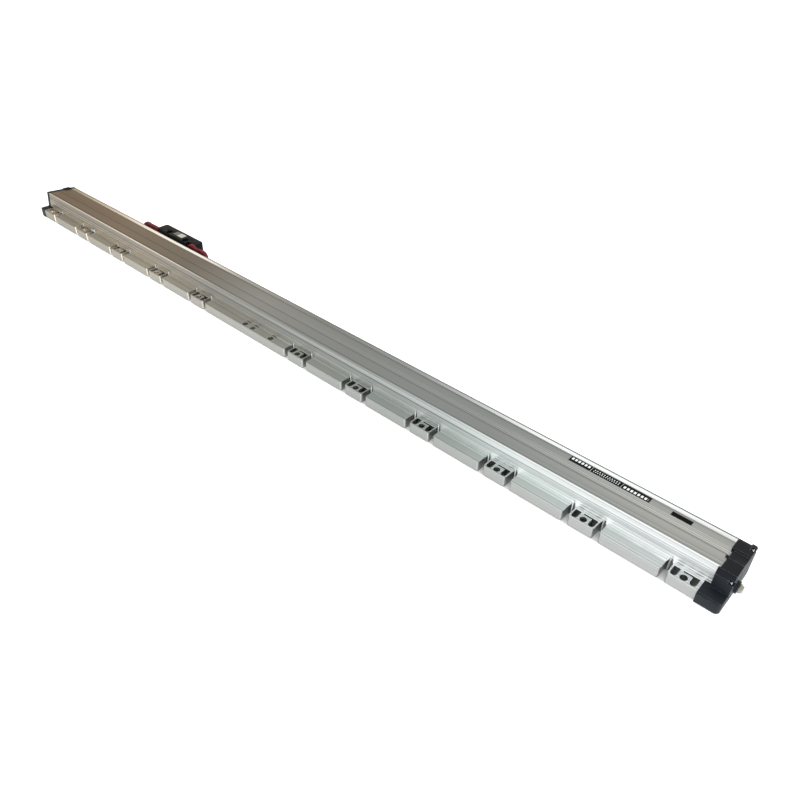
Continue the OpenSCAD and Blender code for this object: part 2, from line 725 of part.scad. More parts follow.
module photodetectors() {
    color("#33363C") for (i = [-1 : 1])
        translate([unit_x + i * 5 - 2, optics_y - 2.5, glass_z - arm_gap + 0.6]) cube([4, 5, 0.3]);
}

module edge_roller_pins() {
    color("#C4C6C8") for (side = [-1, 1])
        translate([unit_x + side * roller_x, edge_roller_y, carriage_floor + 3])
            cylinder(r = pin_r, h = 12);
}

module top_roller_pins() {
    color("#C4C6C8") for (side = [-1, 1])
        translate([unit_x + side * roller_x, arm_y + 0.3, top_roller_z]) rotate([-90, 0, 0])
            cylinder(r = pin_r, h = 9);
}

// Ball-bearing roller: a ring with a shallow step on each face
module roller() {
    color("#D2D4D5") difference() {
        cylinder(r = roller_r, h = roller_w, center = true);
        cylinder(r = pin_r + running, h = roller_w + 1, center = true);
        for (side = [-1, 1]) translate([0, 0, side * roller_w / 2]) difference() {
            cylinder(r = roller_r - 0.6, h = 0.4, center = true);
            cylinder(r = pin_r + 0.6, h = 1, center = true);
        }
    }
}

module top_roller_at(side) {
    translate([unit_x + side * roller_x, top_roller_y, top_roller_z]) rotate([90, 0, 0]) roller();
}

module edge_roller_at(side) {
    translate([unit_x + side * roller_x, edge_roller_y, glass_z + glass_t / 2]) roller();
}

module top_roller_left() { top_roller_at(-1); }
module top_roller_right() { top_roller_at(1); }
module edge_roller_left() { edge_roller_at(-1); }
module edge_roller_right() { edge_roller_at(1); }

// Transport brackets: wavy strips that hold the unit's gap until it is bolted down
module transport_bracket_right() {
    color("#82323A") difference() {
        translate([unit_x + block_l / 2, block_front + 0.5 + bracket_t, block_top]) rotate([90, 0, 0])
            linear_extrude(bracket_t) polygon([[-16.7, -19], [-16.7, -7], [-14, -3], [-9, -0.4],
                [-4, 0.4],
                [0, -0.2], [3, -2.4], [7, -3], [12, -1.6], [21, -1.2], [26, -2.4], [29, -5.5],
                    [30, -10],
                [30, -16], [27, -19]]);
        translate([unit_x + bracket_screw_x, block_front, bracket_screw_z]) rotate([-90, 0, 0]) {
            cylinder(r = 1.5, h = 8);
            cylinder(r = 2.4, h = 2.4);
        }
        translate([unit_x + block_l / 2 + 17, block_front - 1, bracket_screw_z]) rotate([-90, 0, 0])
            cylinder(r = 2.6, h = 8);
    }
}

module transport_bracket_left() {
    x = -block_l / 2 - 0.1;
    color("#82323A") difference() {
        union() {
            translate([unit_x + x, block_front + 0.5 + bracket_t, block_top]) rotate([90, 0, 0])
                linear_extrude(bracket_t) polygon([[0, -19], [0, -1.4], [-8, -0.6], [-20, -0.8],
                    [-27, -0.2],
                    [-33, -1.2], [-38, -4.5], [-40, -10], [-40, -16], [-37, -19]]);
            translate([unit_x + x - 2.6, block_front + 0.5, bracket_floor]) cube([2.6, 14, 17]);
        }
        translate([unit_x + x - 8, block_front + 9, bracket_screw_z]) rotate([0, 90, 0])
            cylinder(r = 1.5, h = 20);
        translate([unit_x + x - 26, block_front - 1, bracket_screw_z]) rotate([-90, 0, 0])
            cylinder(r = 2.6, h = 8);
    }
}

module bracket_screws() {
    color("#2B2C2E") {
        translate([unit_x + bracket_screw_x, block_front + 1.1, bracket_screw_z])
            rotate([-90, 0, 0]) difference() {
            union() {
                cylinder(r = 1.25, h = 9);
                cylinder(r = 2.2, h = 1.3);
            }
            translate([0, 0, -1]) cylinder(d = 1.8, h = 1.8, $fn = 6);
        }
        translate([unit_x - block_l / 2 - 2.7, block_front + 9, bracket_screw_z]) rotate([0, 90, 0])
            difference() {
            union() {
                cylinder(r = 1.25, h = 11);
                translate([0, 0, -2.2]) cylinder(r = 2.4, h = 2.2);
            }
            translate([0, 0, -3]) cylinder(d = 2, h = 2, $fn = 6);
        }
    }
}

housing();
glass_scale();
scale_adhesive();
upper_sealing_lip();
lower_sealing_lip();
end_cap_right();
end_cap_left();
end_gasket_right();
end_gasket_left();
cap_screws_right();
cap_screws_left();
air_fitting();
air_plug();
type_plate();
small_plate();
mounting_block();
block_cover();
cover_screws();
interface_board();
cable_socket();
socket_insert();
unit_plate();
sealing_web();
web_screws();
scanning_carriage();
light_unit();
condenser_lens();
scanning_reticle();
detector_board();
photodetectors();
edge_roller_pins();
top_roller_pins();
top_roller_left();
top_roller_right();
edge_roller_left();
edge_roller_right();
transport_bracket_left();
transport_bracket_right();
bracket_screws();
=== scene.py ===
# %% [markdown]
# # A sealed glass scale in Blender
# A glass scale tells a machine tool where its slide is. A strip of ruled glass lies inside a long
# aluminium housing, and a small black scanning unit slides along the back and reads the lines.
# The shapes come from a CAD model, and this lesson gives them their edges, finishes and light.

# %% Load the frame
import json
import math

import bmesh
import bpy
from mathutils import Vector
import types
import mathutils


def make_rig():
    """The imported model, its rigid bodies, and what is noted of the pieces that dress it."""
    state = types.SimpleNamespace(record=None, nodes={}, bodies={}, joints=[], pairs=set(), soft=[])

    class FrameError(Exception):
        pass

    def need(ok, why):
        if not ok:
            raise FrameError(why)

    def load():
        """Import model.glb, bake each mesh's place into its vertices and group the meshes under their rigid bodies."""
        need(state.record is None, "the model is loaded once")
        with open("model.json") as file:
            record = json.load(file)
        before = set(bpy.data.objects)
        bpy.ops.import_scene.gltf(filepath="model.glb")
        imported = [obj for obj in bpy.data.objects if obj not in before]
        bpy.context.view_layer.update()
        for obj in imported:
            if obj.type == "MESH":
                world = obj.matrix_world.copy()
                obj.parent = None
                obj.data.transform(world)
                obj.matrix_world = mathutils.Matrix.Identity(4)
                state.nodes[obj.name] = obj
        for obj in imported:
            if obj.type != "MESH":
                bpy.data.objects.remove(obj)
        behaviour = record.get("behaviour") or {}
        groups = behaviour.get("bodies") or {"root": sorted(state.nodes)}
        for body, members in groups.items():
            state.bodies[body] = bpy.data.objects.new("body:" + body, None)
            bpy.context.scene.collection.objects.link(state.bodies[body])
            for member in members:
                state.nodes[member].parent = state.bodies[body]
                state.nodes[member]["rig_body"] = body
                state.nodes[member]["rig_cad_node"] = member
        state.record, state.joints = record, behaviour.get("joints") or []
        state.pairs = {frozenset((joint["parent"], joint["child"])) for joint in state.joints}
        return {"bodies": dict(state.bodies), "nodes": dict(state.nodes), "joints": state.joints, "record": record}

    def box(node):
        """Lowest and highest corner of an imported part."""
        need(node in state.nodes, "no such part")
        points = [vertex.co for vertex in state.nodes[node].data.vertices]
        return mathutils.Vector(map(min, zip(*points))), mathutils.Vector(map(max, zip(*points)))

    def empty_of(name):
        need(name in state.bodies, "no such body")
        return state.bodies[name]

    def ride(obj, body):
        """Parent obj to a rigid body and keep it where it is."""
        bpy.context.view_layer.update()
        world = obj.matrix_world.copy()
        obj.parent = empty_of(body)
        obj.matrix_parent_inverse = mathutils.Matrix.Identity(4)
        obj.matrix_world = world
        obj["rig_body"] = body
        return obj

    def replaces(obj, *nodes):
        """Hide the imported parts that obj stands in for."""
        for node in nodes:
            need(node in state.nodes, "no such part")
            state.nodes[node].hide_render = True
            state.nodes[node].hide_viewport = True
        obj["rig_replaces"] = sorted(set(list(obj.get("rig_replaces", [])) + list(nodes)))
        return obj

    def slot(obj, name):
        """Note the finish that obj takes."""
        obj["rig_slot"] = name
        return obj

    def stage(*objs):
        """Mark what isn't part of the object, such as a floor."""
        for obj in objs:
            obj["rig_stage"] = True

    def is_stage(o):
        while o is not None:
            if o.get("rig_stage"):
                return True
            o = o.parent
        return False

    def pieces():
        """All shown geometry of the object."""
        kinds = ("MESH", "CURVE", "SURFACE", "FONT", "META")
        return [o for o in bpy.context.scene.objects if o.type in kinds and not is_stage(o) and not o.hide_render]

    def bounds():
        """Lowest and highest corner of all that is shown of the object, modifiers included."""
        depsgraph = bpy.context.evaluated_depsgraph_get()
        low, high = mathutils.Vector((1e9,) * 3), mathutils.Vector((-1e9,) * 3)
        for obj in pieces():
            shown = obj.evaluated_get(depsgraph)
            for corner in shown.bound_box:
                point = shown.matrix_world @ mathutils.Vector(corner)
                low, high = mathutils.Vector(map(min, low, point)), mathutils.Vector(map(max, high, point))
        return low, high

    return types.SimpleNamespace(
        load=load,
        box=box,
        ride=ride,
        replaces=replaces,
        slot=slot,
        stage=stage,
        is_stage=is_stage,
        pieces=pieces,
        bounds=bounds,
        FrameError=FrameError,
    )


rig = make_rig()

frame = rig.load()


def corners(bounds):
    """A box as two plain lists of numbers."""
    return [[float(value) for value in corner] for corner in bounds]


CAD_BOX = corners(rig.bounds())
NODES = frame["nodes"]
BODY_OF = {node: body for body, members in frame["record"]["behaviour"]["bodies"].items()
           for node in members}
SLOT_OF = {part["node"]: part["material_slot"] for part in frame["record"]["subparts"]}
print(len(NODES), "CAD nodes on", len(set(BODY_OF.values())), "bodies; box", CAD_BOX)

# %% [markdown]
# ## Camera
# The scale is shot from in front of its right end and from above, with a normal lens, so that the
# near end looks much larger than the far one. A camera looks along its own -Z axis, and three
# turns about X, Y and Z aim it. Depth of field stays off, because all of the length is sharp.

# %% Camera
camera_data = bpy.data.cameras.new("camera")
camera_data.lens = 33.97
camera_data.sensor_width = 36.0
camera_data.shift_x = 0.001
camera_data.shift_y = -0.0028
camera_data.clip_start = 0.02
camera = bpy.data.objects.new("camera", camera_data)
camera.location = (0.6484, -0.4879, 0.5240)
camera.rotation_euler = [math.radians(angle) for angle in (52.951, -1.134, 42.350)]
bpy.context.scene.collection.objects.link(camera)
bpy.context.scene.camera = camera
bpy.context.scene.view_settings.view_transform = "Standard"
print("camera", round(camera.location.length, 3), "m from the middle of the scale")

# %% [markdown]
# ## Colours and nodes
# Colours are written as sRGB hex, the way a colour picker shows them, and one function turns them
# into the linear values that Blender's sockets hold. A second one adds a node with its settings
# and its links, whatever its kind. A mix node can mix numbers, vectors or colours, so a mix of
# colours has to say so.

# %% Colours and nodes
COLOUR_MIX = {"data_type": "RGBA"}


def linear(hex_colour):
    """An sRGB hex colour as the linear values that Blender's sockets hold."""
    channels = [int(hex_colour[i : i + 2], 16) / 255 for i in (1, 3, 5)]
    return [c / 12.92 if c <= 0.04045 else ((c + 0.055) / 1.055) ** 2.4
            for c in channels] + [1.0]


def add(tree, kind, settings=None, links=None):
    """Adds one node. Both dictionaries are keyed by socket name or number, or by a property. A
    setting may be a hex colour, and a link comes from a socket or from a node's first output."""
    node = tree.nodes.new(kind)
    for name, value in (settings or {}).items():
        if isinstance(value, str) and value.startswith("#"):
            value = linear(value)
        if name == "stops":
            elements = node.color_ramp.elements
            while len(elements) < len(value):
                elements.new(0.5)
            for element, (place_on_ramp, colour) in zip(elements, value):
                element.position = place_on_ramp
                element.color = linear(colour)
        elif isinstance(name, int) or name in node.inputs:
            node.inputs[name].default_value = value
        else:
            setattr(node, name, value)
    for name, source in (links or {}).items():
        if isinstance(source, bpy.types.Node):
            source = next(output for output in source.outputs if output.enabled)
        tree.links.new(source, node.inputs[name])
    return node


print("a mid grey, #808080, is", round(linear("#808080")[0], 3), "in linear light")

# %% [markdown]
# ## Room and lamps
# Aluminium shows what it mirrors more than its own colour, so the room matters. The sky is a soft
# grey, which the roof mirrors, and turns to a warm grey low down beyond the left end. One soft
# panel stands on the right and brightens the near end, and another hangs overhead.

# %% Room and lamps
ROOM_BRIGHTNESS = 1.3
# the warm grey fades out over a stretch of a direction's X, and the overhead grey comes in over Z
WARM_SIDE = (-0.95, -0.35)
OVERHEAD = (0.45, 0.8)


def area_light(name, place, aim, size, watts, colour):
    """A soft rectangular panel that faces a point."""
    data = bpy.data.lights.new(name, "AREA")
    data.shape = "RECTANGLE"
    data.size, data.size_y = size
    data.energy = watts
    data.color = linear(colour)[:3]
    lamp = bpy.data.objects.new(name, data)
    lamp.location = place
    lamp.rotation_euler = (Vector(aim) - Vector(place)).to_track_quat("-Z", "Y").to_euler()
    bpy.context.scene.collection.objects.link(lamp)


world = bpy.data.worlds.new("pale_room")
world.use_nodes = True
sky = world.node_tree
toward = add(sky, "ShaderNodeSeparateXYZ", None,
             {"Vector": add(sky, "ShaderNodeTexCoord").outputs["Generated"]}).outputs
rightward = add(sky, "ShaderNodeMapRange", {"From Min": WARM_SIDE[0], "From Max": WARM_SIDE[1]},
                {"Value": toward["X"]})
low_sky = add(sky, "ShaderNodeMix", COLOUR_MIX | {"A": "#C8B59C", "B": "#DDDFDF"},
              {"Factor": rightward})
upward = add(sky, "ShaderNodeMapRange", {"From Min": OVERHEAD[0], "From Max": OVERHEAD[1]},
             {"Value": toward["Z"]})
room_colour = add(sky, "ShaderNodeMix", COLOUR_MIX | {"B": "#E2E4E5"},
                  {"Factor": upward, "A": low_sky})
background = sky.nodes["Background"]
background.inputs["Strength"].default_value = ROOM_BRIGHTNESS
sky.links.new(room_colour.outputs["Result"], background.inputs["Color"])
bpy.context.scene.world = world

area_light("right_panel", place=(1.25, -0.95, 0.55), aim=(0.5, 0.0, 0.0), size=(1.4, 0.8),
           watts=5, colour="#F2F8FF")
area_light("top_panel", place=(-0.2, 0.3, 2.0), aim=(0.0, 0.0, 0.0), size=(3.0, 1.6),
           watts=10, colour="#FFFFFF")
print("lights", [o.name for o in bpy.data.objects if o.type == "LIGHT"])

# %% [markdown]
# ## Floor
# The floor is a plain white painted board with a faint grain. It glows a little beside the scale,
# so that it stays white and the long front wall mirrors it. It doesn't glow under the housing, so
# that the milled pockets, which are open below, stay dark.

# %% Floor
GLOW = 0.65
GLOW_EDGE = 0.001
FLOOR_SIZE = 14.0
FLOOR_BELOW = 0.0003


def new_material(name, colour, metallic=0.0, roughness=0.5, **sockets):
    """A material with one Principled shader, whose even values are set on its own sockets."""
    material = bpy.data.materials.new(name)
    material.use_nodes = True
    tree = material.node_tree
    shader = tree.nodes["Principled BSDF"]
    shader.inputs["Base Color"].default_value = linear(colour)
    shader.inputs["Metallic"].default_value = metallic
    shader.inputs["Roughness"].default_value = roughness
    for socket, value in sockets.items():
        label = socket.replace("_", " ").title().replace("Ior", "IOR")
        shader.inputs[label].default_value = value
    material.diffuse_color = linear(colour)
    return material, tree, shader


def position(tree):
    """The coordinates of a point on the object, in metres, and the same split in three."""
    place = add(tree, "ShaderNodeTexCoord").outputs["Object"]
    return place, add(tree, "ShaderNodeSeparateXYZ", None, {"Vector": place}).outputs


board, tree, shader = new_material("Matt_white_painted_board", "#F4F4F4", roughness=0.9)
place, axes = position(tree)
outside = []
for axis, low, high in zip("XY", *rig.box("housing")):
    offset = add(tree, "ShaderNodeMath", {"operation": "SUBTRACT", 1: (low + high) / 2},
                 {0: axes[axis]})
    apart = add(tree, "ShaderNodeMath", {"operation": "ABSOLUTE"}, {0: offset})
    half = (high - low) / 2
    outside.append(add(tree, "ShaderNodeMapRange",
                       {"From Min": half - GLOW_EDGE, "From Max": half + GLOW_EDGE},
                       {"Value": apart}))
beside = add(tree, "ShaderNodeMath", {"operation": "MAXIMUM"}, {0: outside[0], 1: outside[1]})
glow = add(tree, "ShaderNodeMath", {"operation": "MULTIPLY", 1: GLOW}, {0: beside})
shader.inputs["Emission Color"].default_value = linear("#FFFFFF")
tree.links.new(glow.outputs["Value"], shader.inputs["Emission Strength"])
# the paint's grain is about 1 mm wide and 0.1 mm deep, a little coarse so that it shows
grain = add(tree, "ShaderNodeTexNoise", {"Scale": 900.0, "Detail": 3.0}, {"Vector": place})
bump = add(tree, "ShaderNodeBump", {"Strength": 0.05, "Distance": 0.0001}, {"Height": grain})
tree.links.new(bump.outputs["Normal"], shader.inputs["Normal"])
bpy.ops.mesh.primitive_plane_add(size=FLOOR_SIZE, location=(0, 0, CAD_BOX[0][2] - FLOOR_BELOW))
floor = bpy.context.object
floor.name = "studio_floor"
floor.data.materials.append(board)
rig.stage(floor)
print("floor", FLOOR_SIZE, "m wide,", FLOOR_BELOW * 1000, "mm below the scale")

# %% [markdown]
# ## Extruded aluminium
# The housing is aluminium that is pushed through a die, so each of its long faces is one smooth,
# satin strip. How each face mirrors the room is painted into its colour, as painted reflections,
# highlights and shade. Object coordinates are the CAD's own metres, so one material can follow the
# shape. A mask tells where a point lies: it goes from 0 to 1 between two places on a coordinate, or
# between two ways that a face can look. All of them come from one table, and the next steps use
# them to lay one tone of painted light over another.

# %% Extruded aluminium
aluminium, tree, shader = new_material("Extruded_aluminium_satin", "#C4C7C5", metallic=1.0,
                                       roughness=0.36)
place, axes = position(tree)
facing = add(tree, "ShaderNodeSeparateXYZ", None,
             {"Vector": add(tree, "ShaderNodeNewGeometry").outputs["Normal"]}).outputs
sideways = add(tree, "ShaderNodeMath", {"operation": "ABSOLUTE"}, {0: facing["X"]})
MASKS = {
    "far_end": (axes["X"], -0.15, -0.30),
    "near_half": (axes["X"], -0.55, 0.15),
    "near_pockets": (axes["X"], -0.45, 0.15),
    "near_end": (axes["X"], 0.30, 0.50),
    "behind_front": (axes["Y"], -0.0046, -0.0040),
    "before_wall": (axes["Y"], 0.0094, 0.0088),
    "root_depth": (axes["Y"], 0.0052, 0.0058),
    "behind_rim": (axes["Y"], 0.0120, 0.0126),
    "far_band": (axes["Y"], 0.0494, 0.0500),
    "near_band": (axes["Y"], 0.0506, 0.0513),
    "band_end": (axes["Y"], 0.0558, 0.0567),
    "back_strip": (axes["Y"], 0.0568, 0.0574),
    "above_flange": (axes["Z"], 0.0121, 0.0125),
    "wall_foot": (axes["Z"], 0.0155, 0.0140),
    "wall_edge": (axes["Z"], 0.0326, 0.0333),
    "wall_top": (axes["Z"], 0.0334, 0.0338),
    "faces_up": (facing["Z"], 0.55, 0.85),
    "faces_right": (facing["X"], -1.0, 1.0),
    "faces_along": (sideways, 0.5, 1.0),
    "root_turn": (sideways, 0.04, 0.10),
}
mask = {name: add(tree, "ShaderNodeMapRange", {"From Min": low, "From Max": high},
                  {"Value": value})
        for name, (value, low, high) in MASKS.items()}
print(len(mask), "masks")

# %% [markdown]
# ## Walls of the extrusion
# A tone ramp is a list of tones at places in millimetres. On the housing the tones are painted
# light: painted reflections, highlights and shade that stand in for what the metal mirrors. For the
# leaning front wall, ramps named ALONG run with the length, from the warm, dim painted light of the
# far end to the bright painted light of the near one, and the others run up the wall. The two kinds
# are multiplied. The near end shows the finest steps and the far end the softest, so each has its
# own ramp. The far end's upper edge has a warm painted highlight.

# %% Walls of the extrusion
COLOUR_PRODUCT = COLOUR_MIX | {"blend_type": "MULTIPLY", "Factor": 1.0}
LENGTH_SPAN = (-580.0, 580.0)
WALL_SPAN = (12.0, 35.0)
# warm painted light: a highlight on the far end's edges, and the pale light in its pockets
WARM_PAINTED_LIGHT = "#FFF6E8"
# painted light up the wall, with its painted reflections, highlights and shade
WALL_PAINTED_LIGHT = [
    (12.0, "#FFFFFF"), (17.0, "#FFFFFF"), (19.6, "#FAFAFA"), (20.8, "#D2D2D2"), (25.3, "#D0D0D0"),
    (25.7, "#A0A0A0"), (26.5, "#A0A0A0"), (27.1, "#DEDEDE"), (31.2, "#DEDEDE"), (32.2, "#CCCCCC"),
    (33.0, "#DCDCDC"), (33.4, "#F4F4F4")]
NEAR_WALL_PAINTED_LIGHT = [
    (12.0, "#FFFFFF"), (17.6, "#FFFFFF"), (18.0, "#E6E6E6"), (18.5, "#E6E6E6"), (18.9, "#FFFFFF"),
    (19.6, "#F4F4F4"), (20.4, "#D2D2D2"), (22.2, "#BEBEBE"), (22.6, "#CECECE"), (24.0, "#C4C4C4"),
    (24.4, "#B0B0B0"), (24.9, "#B8B8B8"), (25.3, "#DCDCDC"), (25.9, "#E2E2E2"), (26.3, "#B4B4B4"),
    (26.9, "#B8B8B8"), (27.3, "#DADADA"), (29.2, "#D2D2D2"), (29.6, "#C2C2C2"), (30.0, "#C4C4C4"),
    (30.4, "#D6D6D6"), (31.4, "#CECECE"), (31.8, "#B8B8B8"), (32.4, "#C0C0C0"), (33.0, "#D4D4D4"),
    (33.4, "#F4F4F4")]
FAR_WALL_PAINTED_LIGHT = [
    (12.0, "#FFFFFF"), (19.0, "#F4F4F4"), (22.0, "#DADADA"), (25.4, "#D4D4D4"), (25.8, "#C8C8C8"),
    (26.4, "#C8C8C8"), (27.0, "#D0D0D0"), (33.0, "#CCCCCC"), (33.4, "#DCDCDC")]
# painted light along the wall, warm and dim at the far end and bright at the near one
WALL_LIGHT_ALONG = [
    (-520.0, "#948F85"), (-280.0, "#A6A196"), (-120.0, "#A1A09B"), (40.0, "#ADB0AC"),
    (200.0, "#B7BCBB"), (280.0, "#C3CBC9"), (360.0, "#E6EEED"), (440.0, "#F2F9F8"),
    (520.0, "#F8FCFC")]
# a painted highlight along the wall's upper edge
EDGE_HIGHLIGHT_ALONG = [
    (-560.0, "#8F8778"), (-440.0, "#B4AB9A"), (-340.0, "#D6CDBC"), (-240.0, "#D2CDC1"),
    (-120.0, "#A5A49E"), (40.0, "#868886"), (160.0, "#919491"), (260.0, "#B1B5B3"),
    (360.0, "#E0E4E2"), (480.0, "#E8EBE9")]


def toned(tree, coordinate, span, tones):
    """A colour ramp that runs over a span in millimetres of one coordinate."""
    low, high = span
    share = add(tree, "ShaderNodeMapRange", {"From Min": low / 1000, "From Max": high / 1000},
                {"Value": coordinate})
    stops = [((at - low) / (high - low), colour) for at, colour in tones]
    return add(tree, "ShaderNodeValToRGB", {"stops": stops}, {"Fac": share})


wall_along = toned(tree, axes["X"], LENGTH_SPAN, WALL_LIGHT_ALONG)
edge_along = toned(tree, axes["X"], LENGTH_SPAN, EDGE_HIGHLIGHT_ALONG)
wall_along = add(tree, "ShaderNodeMix", COLOUR_MIX,
                 {"Factor": mask["wall_edge"], "A": wall_along, "B": edge_along})
# a warm painted highlight on the wall's upper edge at the far end
far_edge_highlight = add(tree, "ShaderNodeMix", COLOUR_MIX | {"A": "#000000"},
               {"Factor": mask["wall_top"], "B": mask["far_end"]})
wall_along = add(tree, "ShaderNodeMix", COLOUR_MIX | {"B": WARM_PAINTED_LIGHT},
                 {"Factor": far_edge_highlight, "A": wall_along})
wall_section = add(tree, "ShaderNodeMix", COLOUR_MIX,
                   {"Factor": mask["near_half"],
                    "A": toned(tree, axes["Z"], WALL_SPAN, FAR_WALL_PAINTED_LIGHT),
                    "B": toned(tree, axes["Z"], WALL_SPAN, WALL_PAINTED_LIGHT)})
wall_section = add(tree, "ShaderNodeMix", COLOUR_MIX,
                   {"Factor": mask["near_end"], "A": wall_section,
                    "B": toned(tree, axes["Z"], WALL_SPAN, NEAR_WALL_PAINTED_LIGHT)})
wall_tone = add(tree, "ShaderNodeMix", COLOUR_PRODUCT, {"A": wall_along, "B": wall_section})
print(len(NEAR_WALL_PAINTED_LIGHT), "tones up the wall's near end,", len(FAR_WALL_PAINTED_LIGHT), "up its far end")

# %% [markdown]
# ## Roof of the extrusion
# The roof has painted shade that makes it darker than the wall. A flat band near its back has a
# painted highlight towards both ends of the scale, and behind it lies a narrow strip of painted
# shade. The near end's roof has painted highlight lines along it. The ramps run across the roof,
# from the front to the back, or along it as before.

# %% Roof of the extrusion
ROOF_SPAN = (11.0, 59.5)
# painted light and shade across the roof, with painted shade in its grooves
ROOF_PAINTED_LIGHT = [
    (12.0, "#FFFFFF"), (12.4, "#E0E0E0"), (12.8, "#C8C8C8"), (14.4, "#D0D0D0"), (15.2, "#F6F6F6"),
    (28.6, "#F6F6F6"), (29.3, "#BEBEBE"), (30.2, "#BEBEBE"), (31.2, "#FAFAFA"), (37.0, "#FAFAFA"),
    (47.6, "#F4F4F4"), (48.4, "#E8E8E8"), (50.4, "#ECECEC"), (51.2, "#FFFFFF"), (56.2, "#FFFFFF"),
    (56.9, "#E4E4E4"), (57.6, "#E8E8E8"), (58.2, "#FFFFFF")]
# how strongly the painted highlight lines show, from black for not at all
ROOF_HIGHLIGHT_LINES = [
    (16.6, "#000000"), (17.0, "#707070"), (17.4, "#000000"), (20.6, "#000000"), (21.0, "#7C7C7C"),
    (21.4, "#000000"), (25.4, "#000000"), (25.8, "#8C8C8C"), (26.2, "#000000"), (31.6, "#000000"),
    (31.9, "#BCBCBC"), (32.4, "#BCBCBC"), (32.7, "#000000"), (34.2, "#000000"), (34.5, "#C4C4C4"),
    (35.0, "#C4C4C4"), (35.3, "#000000"), (36.6, "#000000"), (36.9, "#BCBCBC"), (37.4, "#BCBCBC"),
    (37.7, "#000000"), (38.9, "#000000"), (39.2, "#D0D0D0"), (39.7, "#D0D0D0"), (40.1, "#000000")]
# painted light along the roof, warm at the far end
ROOF_LIGHT_ALONG = [
    (-520.0, "#796A5A"), (-360.0, "#85786A"), (-200.0, "#7D786F"), (-60.0, "#989A98"),
    (120.0, "#8E9291"), (320.0, "#919491"), (440.0, "#A0A29E"), (520.0, "#ABAAA5")]
# painted light along the band: a highlight towards both ends and shade in the middle
BAND_LIGHT_ALONG = [
    (-560.0, "#B0A797"), (-440.0, "#D8CEBC"), (-340.0, "#FFFAF0"), (-220.0, "#FFFCF4"),
    (-120.0, "#A9A8A2"), (40.0, "#7E807C"), (180.0, "#8C8F8C"), (260.0, "#A2A6A4"),
    (360.0, "#D6DAD8"), (480.0, "#DCDEDD"), (560.0, "#CCCECC")]

# the band of painted highlight begins a little further forward at the far end than at the near one
near_band, far_band = (add(tree, "ShaderNodeMix", COLOUR_MIX | {"A": "#000000", "B": "#FFFFFF"},
                           {"Factor": mask[name]}) for name in ("near_band", "far_band"))
on_band = add(tree, "ShaderNodeMix", COLOUR_MIX,
              {"Factor": mask["far_end"], "A": near_band, "B": far_band})
on_band = add(tree, "ShaderNodeMix", COLOUR_MIX | {"B": "#000000"},
              {"Factor": mask["band_end"], "A": on_band})

# a painted highlight on the roof's front rim, warm at the far end
rim_along = add(tree, "ShaderNodeMix", COLOUR_MIX | {"B": WARM_PAINTED_LIGHT},
                {"Factor": mask["far_end"], "A": edge_along})
roof_along = add(tree, "ShaderNodeMix", COLOUR_MIX,
                 {"Factor": mask["behind_rim"], "A": rim_along,
                  "B": toned(tree, axes["X"], LENGTH_SPAN, ROOF_LIGHT_ALONG)})
roof_along = add(tree, "ShaderNodeMix", COLOUR_MIX,
                 {"Factor": on_band, "A": roof_along,
                  "B": toned(tree, axes["X"], LENGTH_SPAN, BAND_LIGHT_ALONG)})
# painted shade on the narrow strip behind the band
back_strip = add(tree, "ShaderNodeMix", COLOUR_MIX | {"A": "#80817E", "B": "#706F6E"},
                 {"Factor": mask["near_half"]})
roof_along = add(tree, "ShaderNodeMix", COLOUR_MIX,
                 {"Factor": mask["back_strip"], "A": roof_along, "B": back_strip})
roof_tone = add(tree, "ShaderNodeMix", COLOUR_PRODUCT,
                {"A": roof_along, "B": toned(tree, axes["Y"], ROOF_SPAN, ROOF_PAINTED_LIGHT)})
# painted highlight lines along the near end's roof
highlight_lines = add(tree, "ShaderNodeMix", COLOUR_MIX | {"A": "#000000"},
                   {"Factor": mask["near_end"],
                    "B": toned(tree, axes["Y"], ROOF_SPAN, ROOF_HIGHLIGHT_LINES)})
roof_tone = add(tree, "ShaderNodeMix", COLOUR_MIX | {"B": "#E4E0DA"},
                {"Factor": highlight_lines, "A": roof_tone})
print(len(ROOF_PAINTED_LIGHT), "tones across the roof")

# %% [markdown]
# ## Flange of the extrusion
# The flange is milled into pads and blocks. The ends of the pads have painted light that makes them
# brighter than their fronts at the near end, and painted shade that makes them darker at the far
# one. The pockets between them are deep and get little light, so their walls have a pale painted
# light at the far end, to show at all, and a darker painted tone at the near end. The round root of
# a notch, which bites into the foot of the wall, has painted reflections of the white floor and the
# dark gap in turn, as upright strips, on the foot of the wall too. The flange's top has a painted
# highlight on its front rim, a darker line just behind it and painted light towards the wall.

# %% Flange of the extrusion
FLANGE_SPAN = (-6.0, 9.5)
# painted light across the flange's top: a highlight on the front rim, a darker line behind it and brighter light
# towards the wall
FLANGE_PAINTED_LIGHT = [
    (-5.0, "#FFFFFF"), (-4.5, "#FFFFFF"), (-4.0, "#C0C0C0"), (-3.0, "#C4C4C4"), (-2.2, "#E8E8E8"),
    (5.8, "#E6E6E6"), (6.4, "#FFFFFF")]
# painted light along the flange's top
FLANGE_LIGHT_ALONG = [
    (-520.0, "#D0CBC0"), (-280.0, "#E6E2D7"), (-120.0, "#D6D4CB"), (40.0, "#D2D4CE"),
    (200.0, "#CCD2CF"), (360.0, "#DCE1DE"), (520.0, "#F0F4F2")]
# painted light along the flange's front faces
FRONT_LIGHT_ALONG = [
    (-520.0, "#8E8A81"), (-280.0, "#9B978E"), (-40.0, "#9A9B97"), (200.0, "#939693"),
    (520.0, "#A2A3A2")]
# painted reflections round the root of a notch, from the side that faces -X to the side that faces +X
ROOT_REFLECTIONS = [
    (0.0, "#8C8E8C"), (0.14, "#6A6C6A"), (0.22, "#FFFFFF"), (0.30, "#FFFFFF"), (0.36, "#707270"),
    (0.56, "#6A6C6A"), (0.62, "#FFFFFF"), (0.72, "#FFFFFF"), (0.78, "#5C5E5C"), (1.0, "#9C9E9C")]

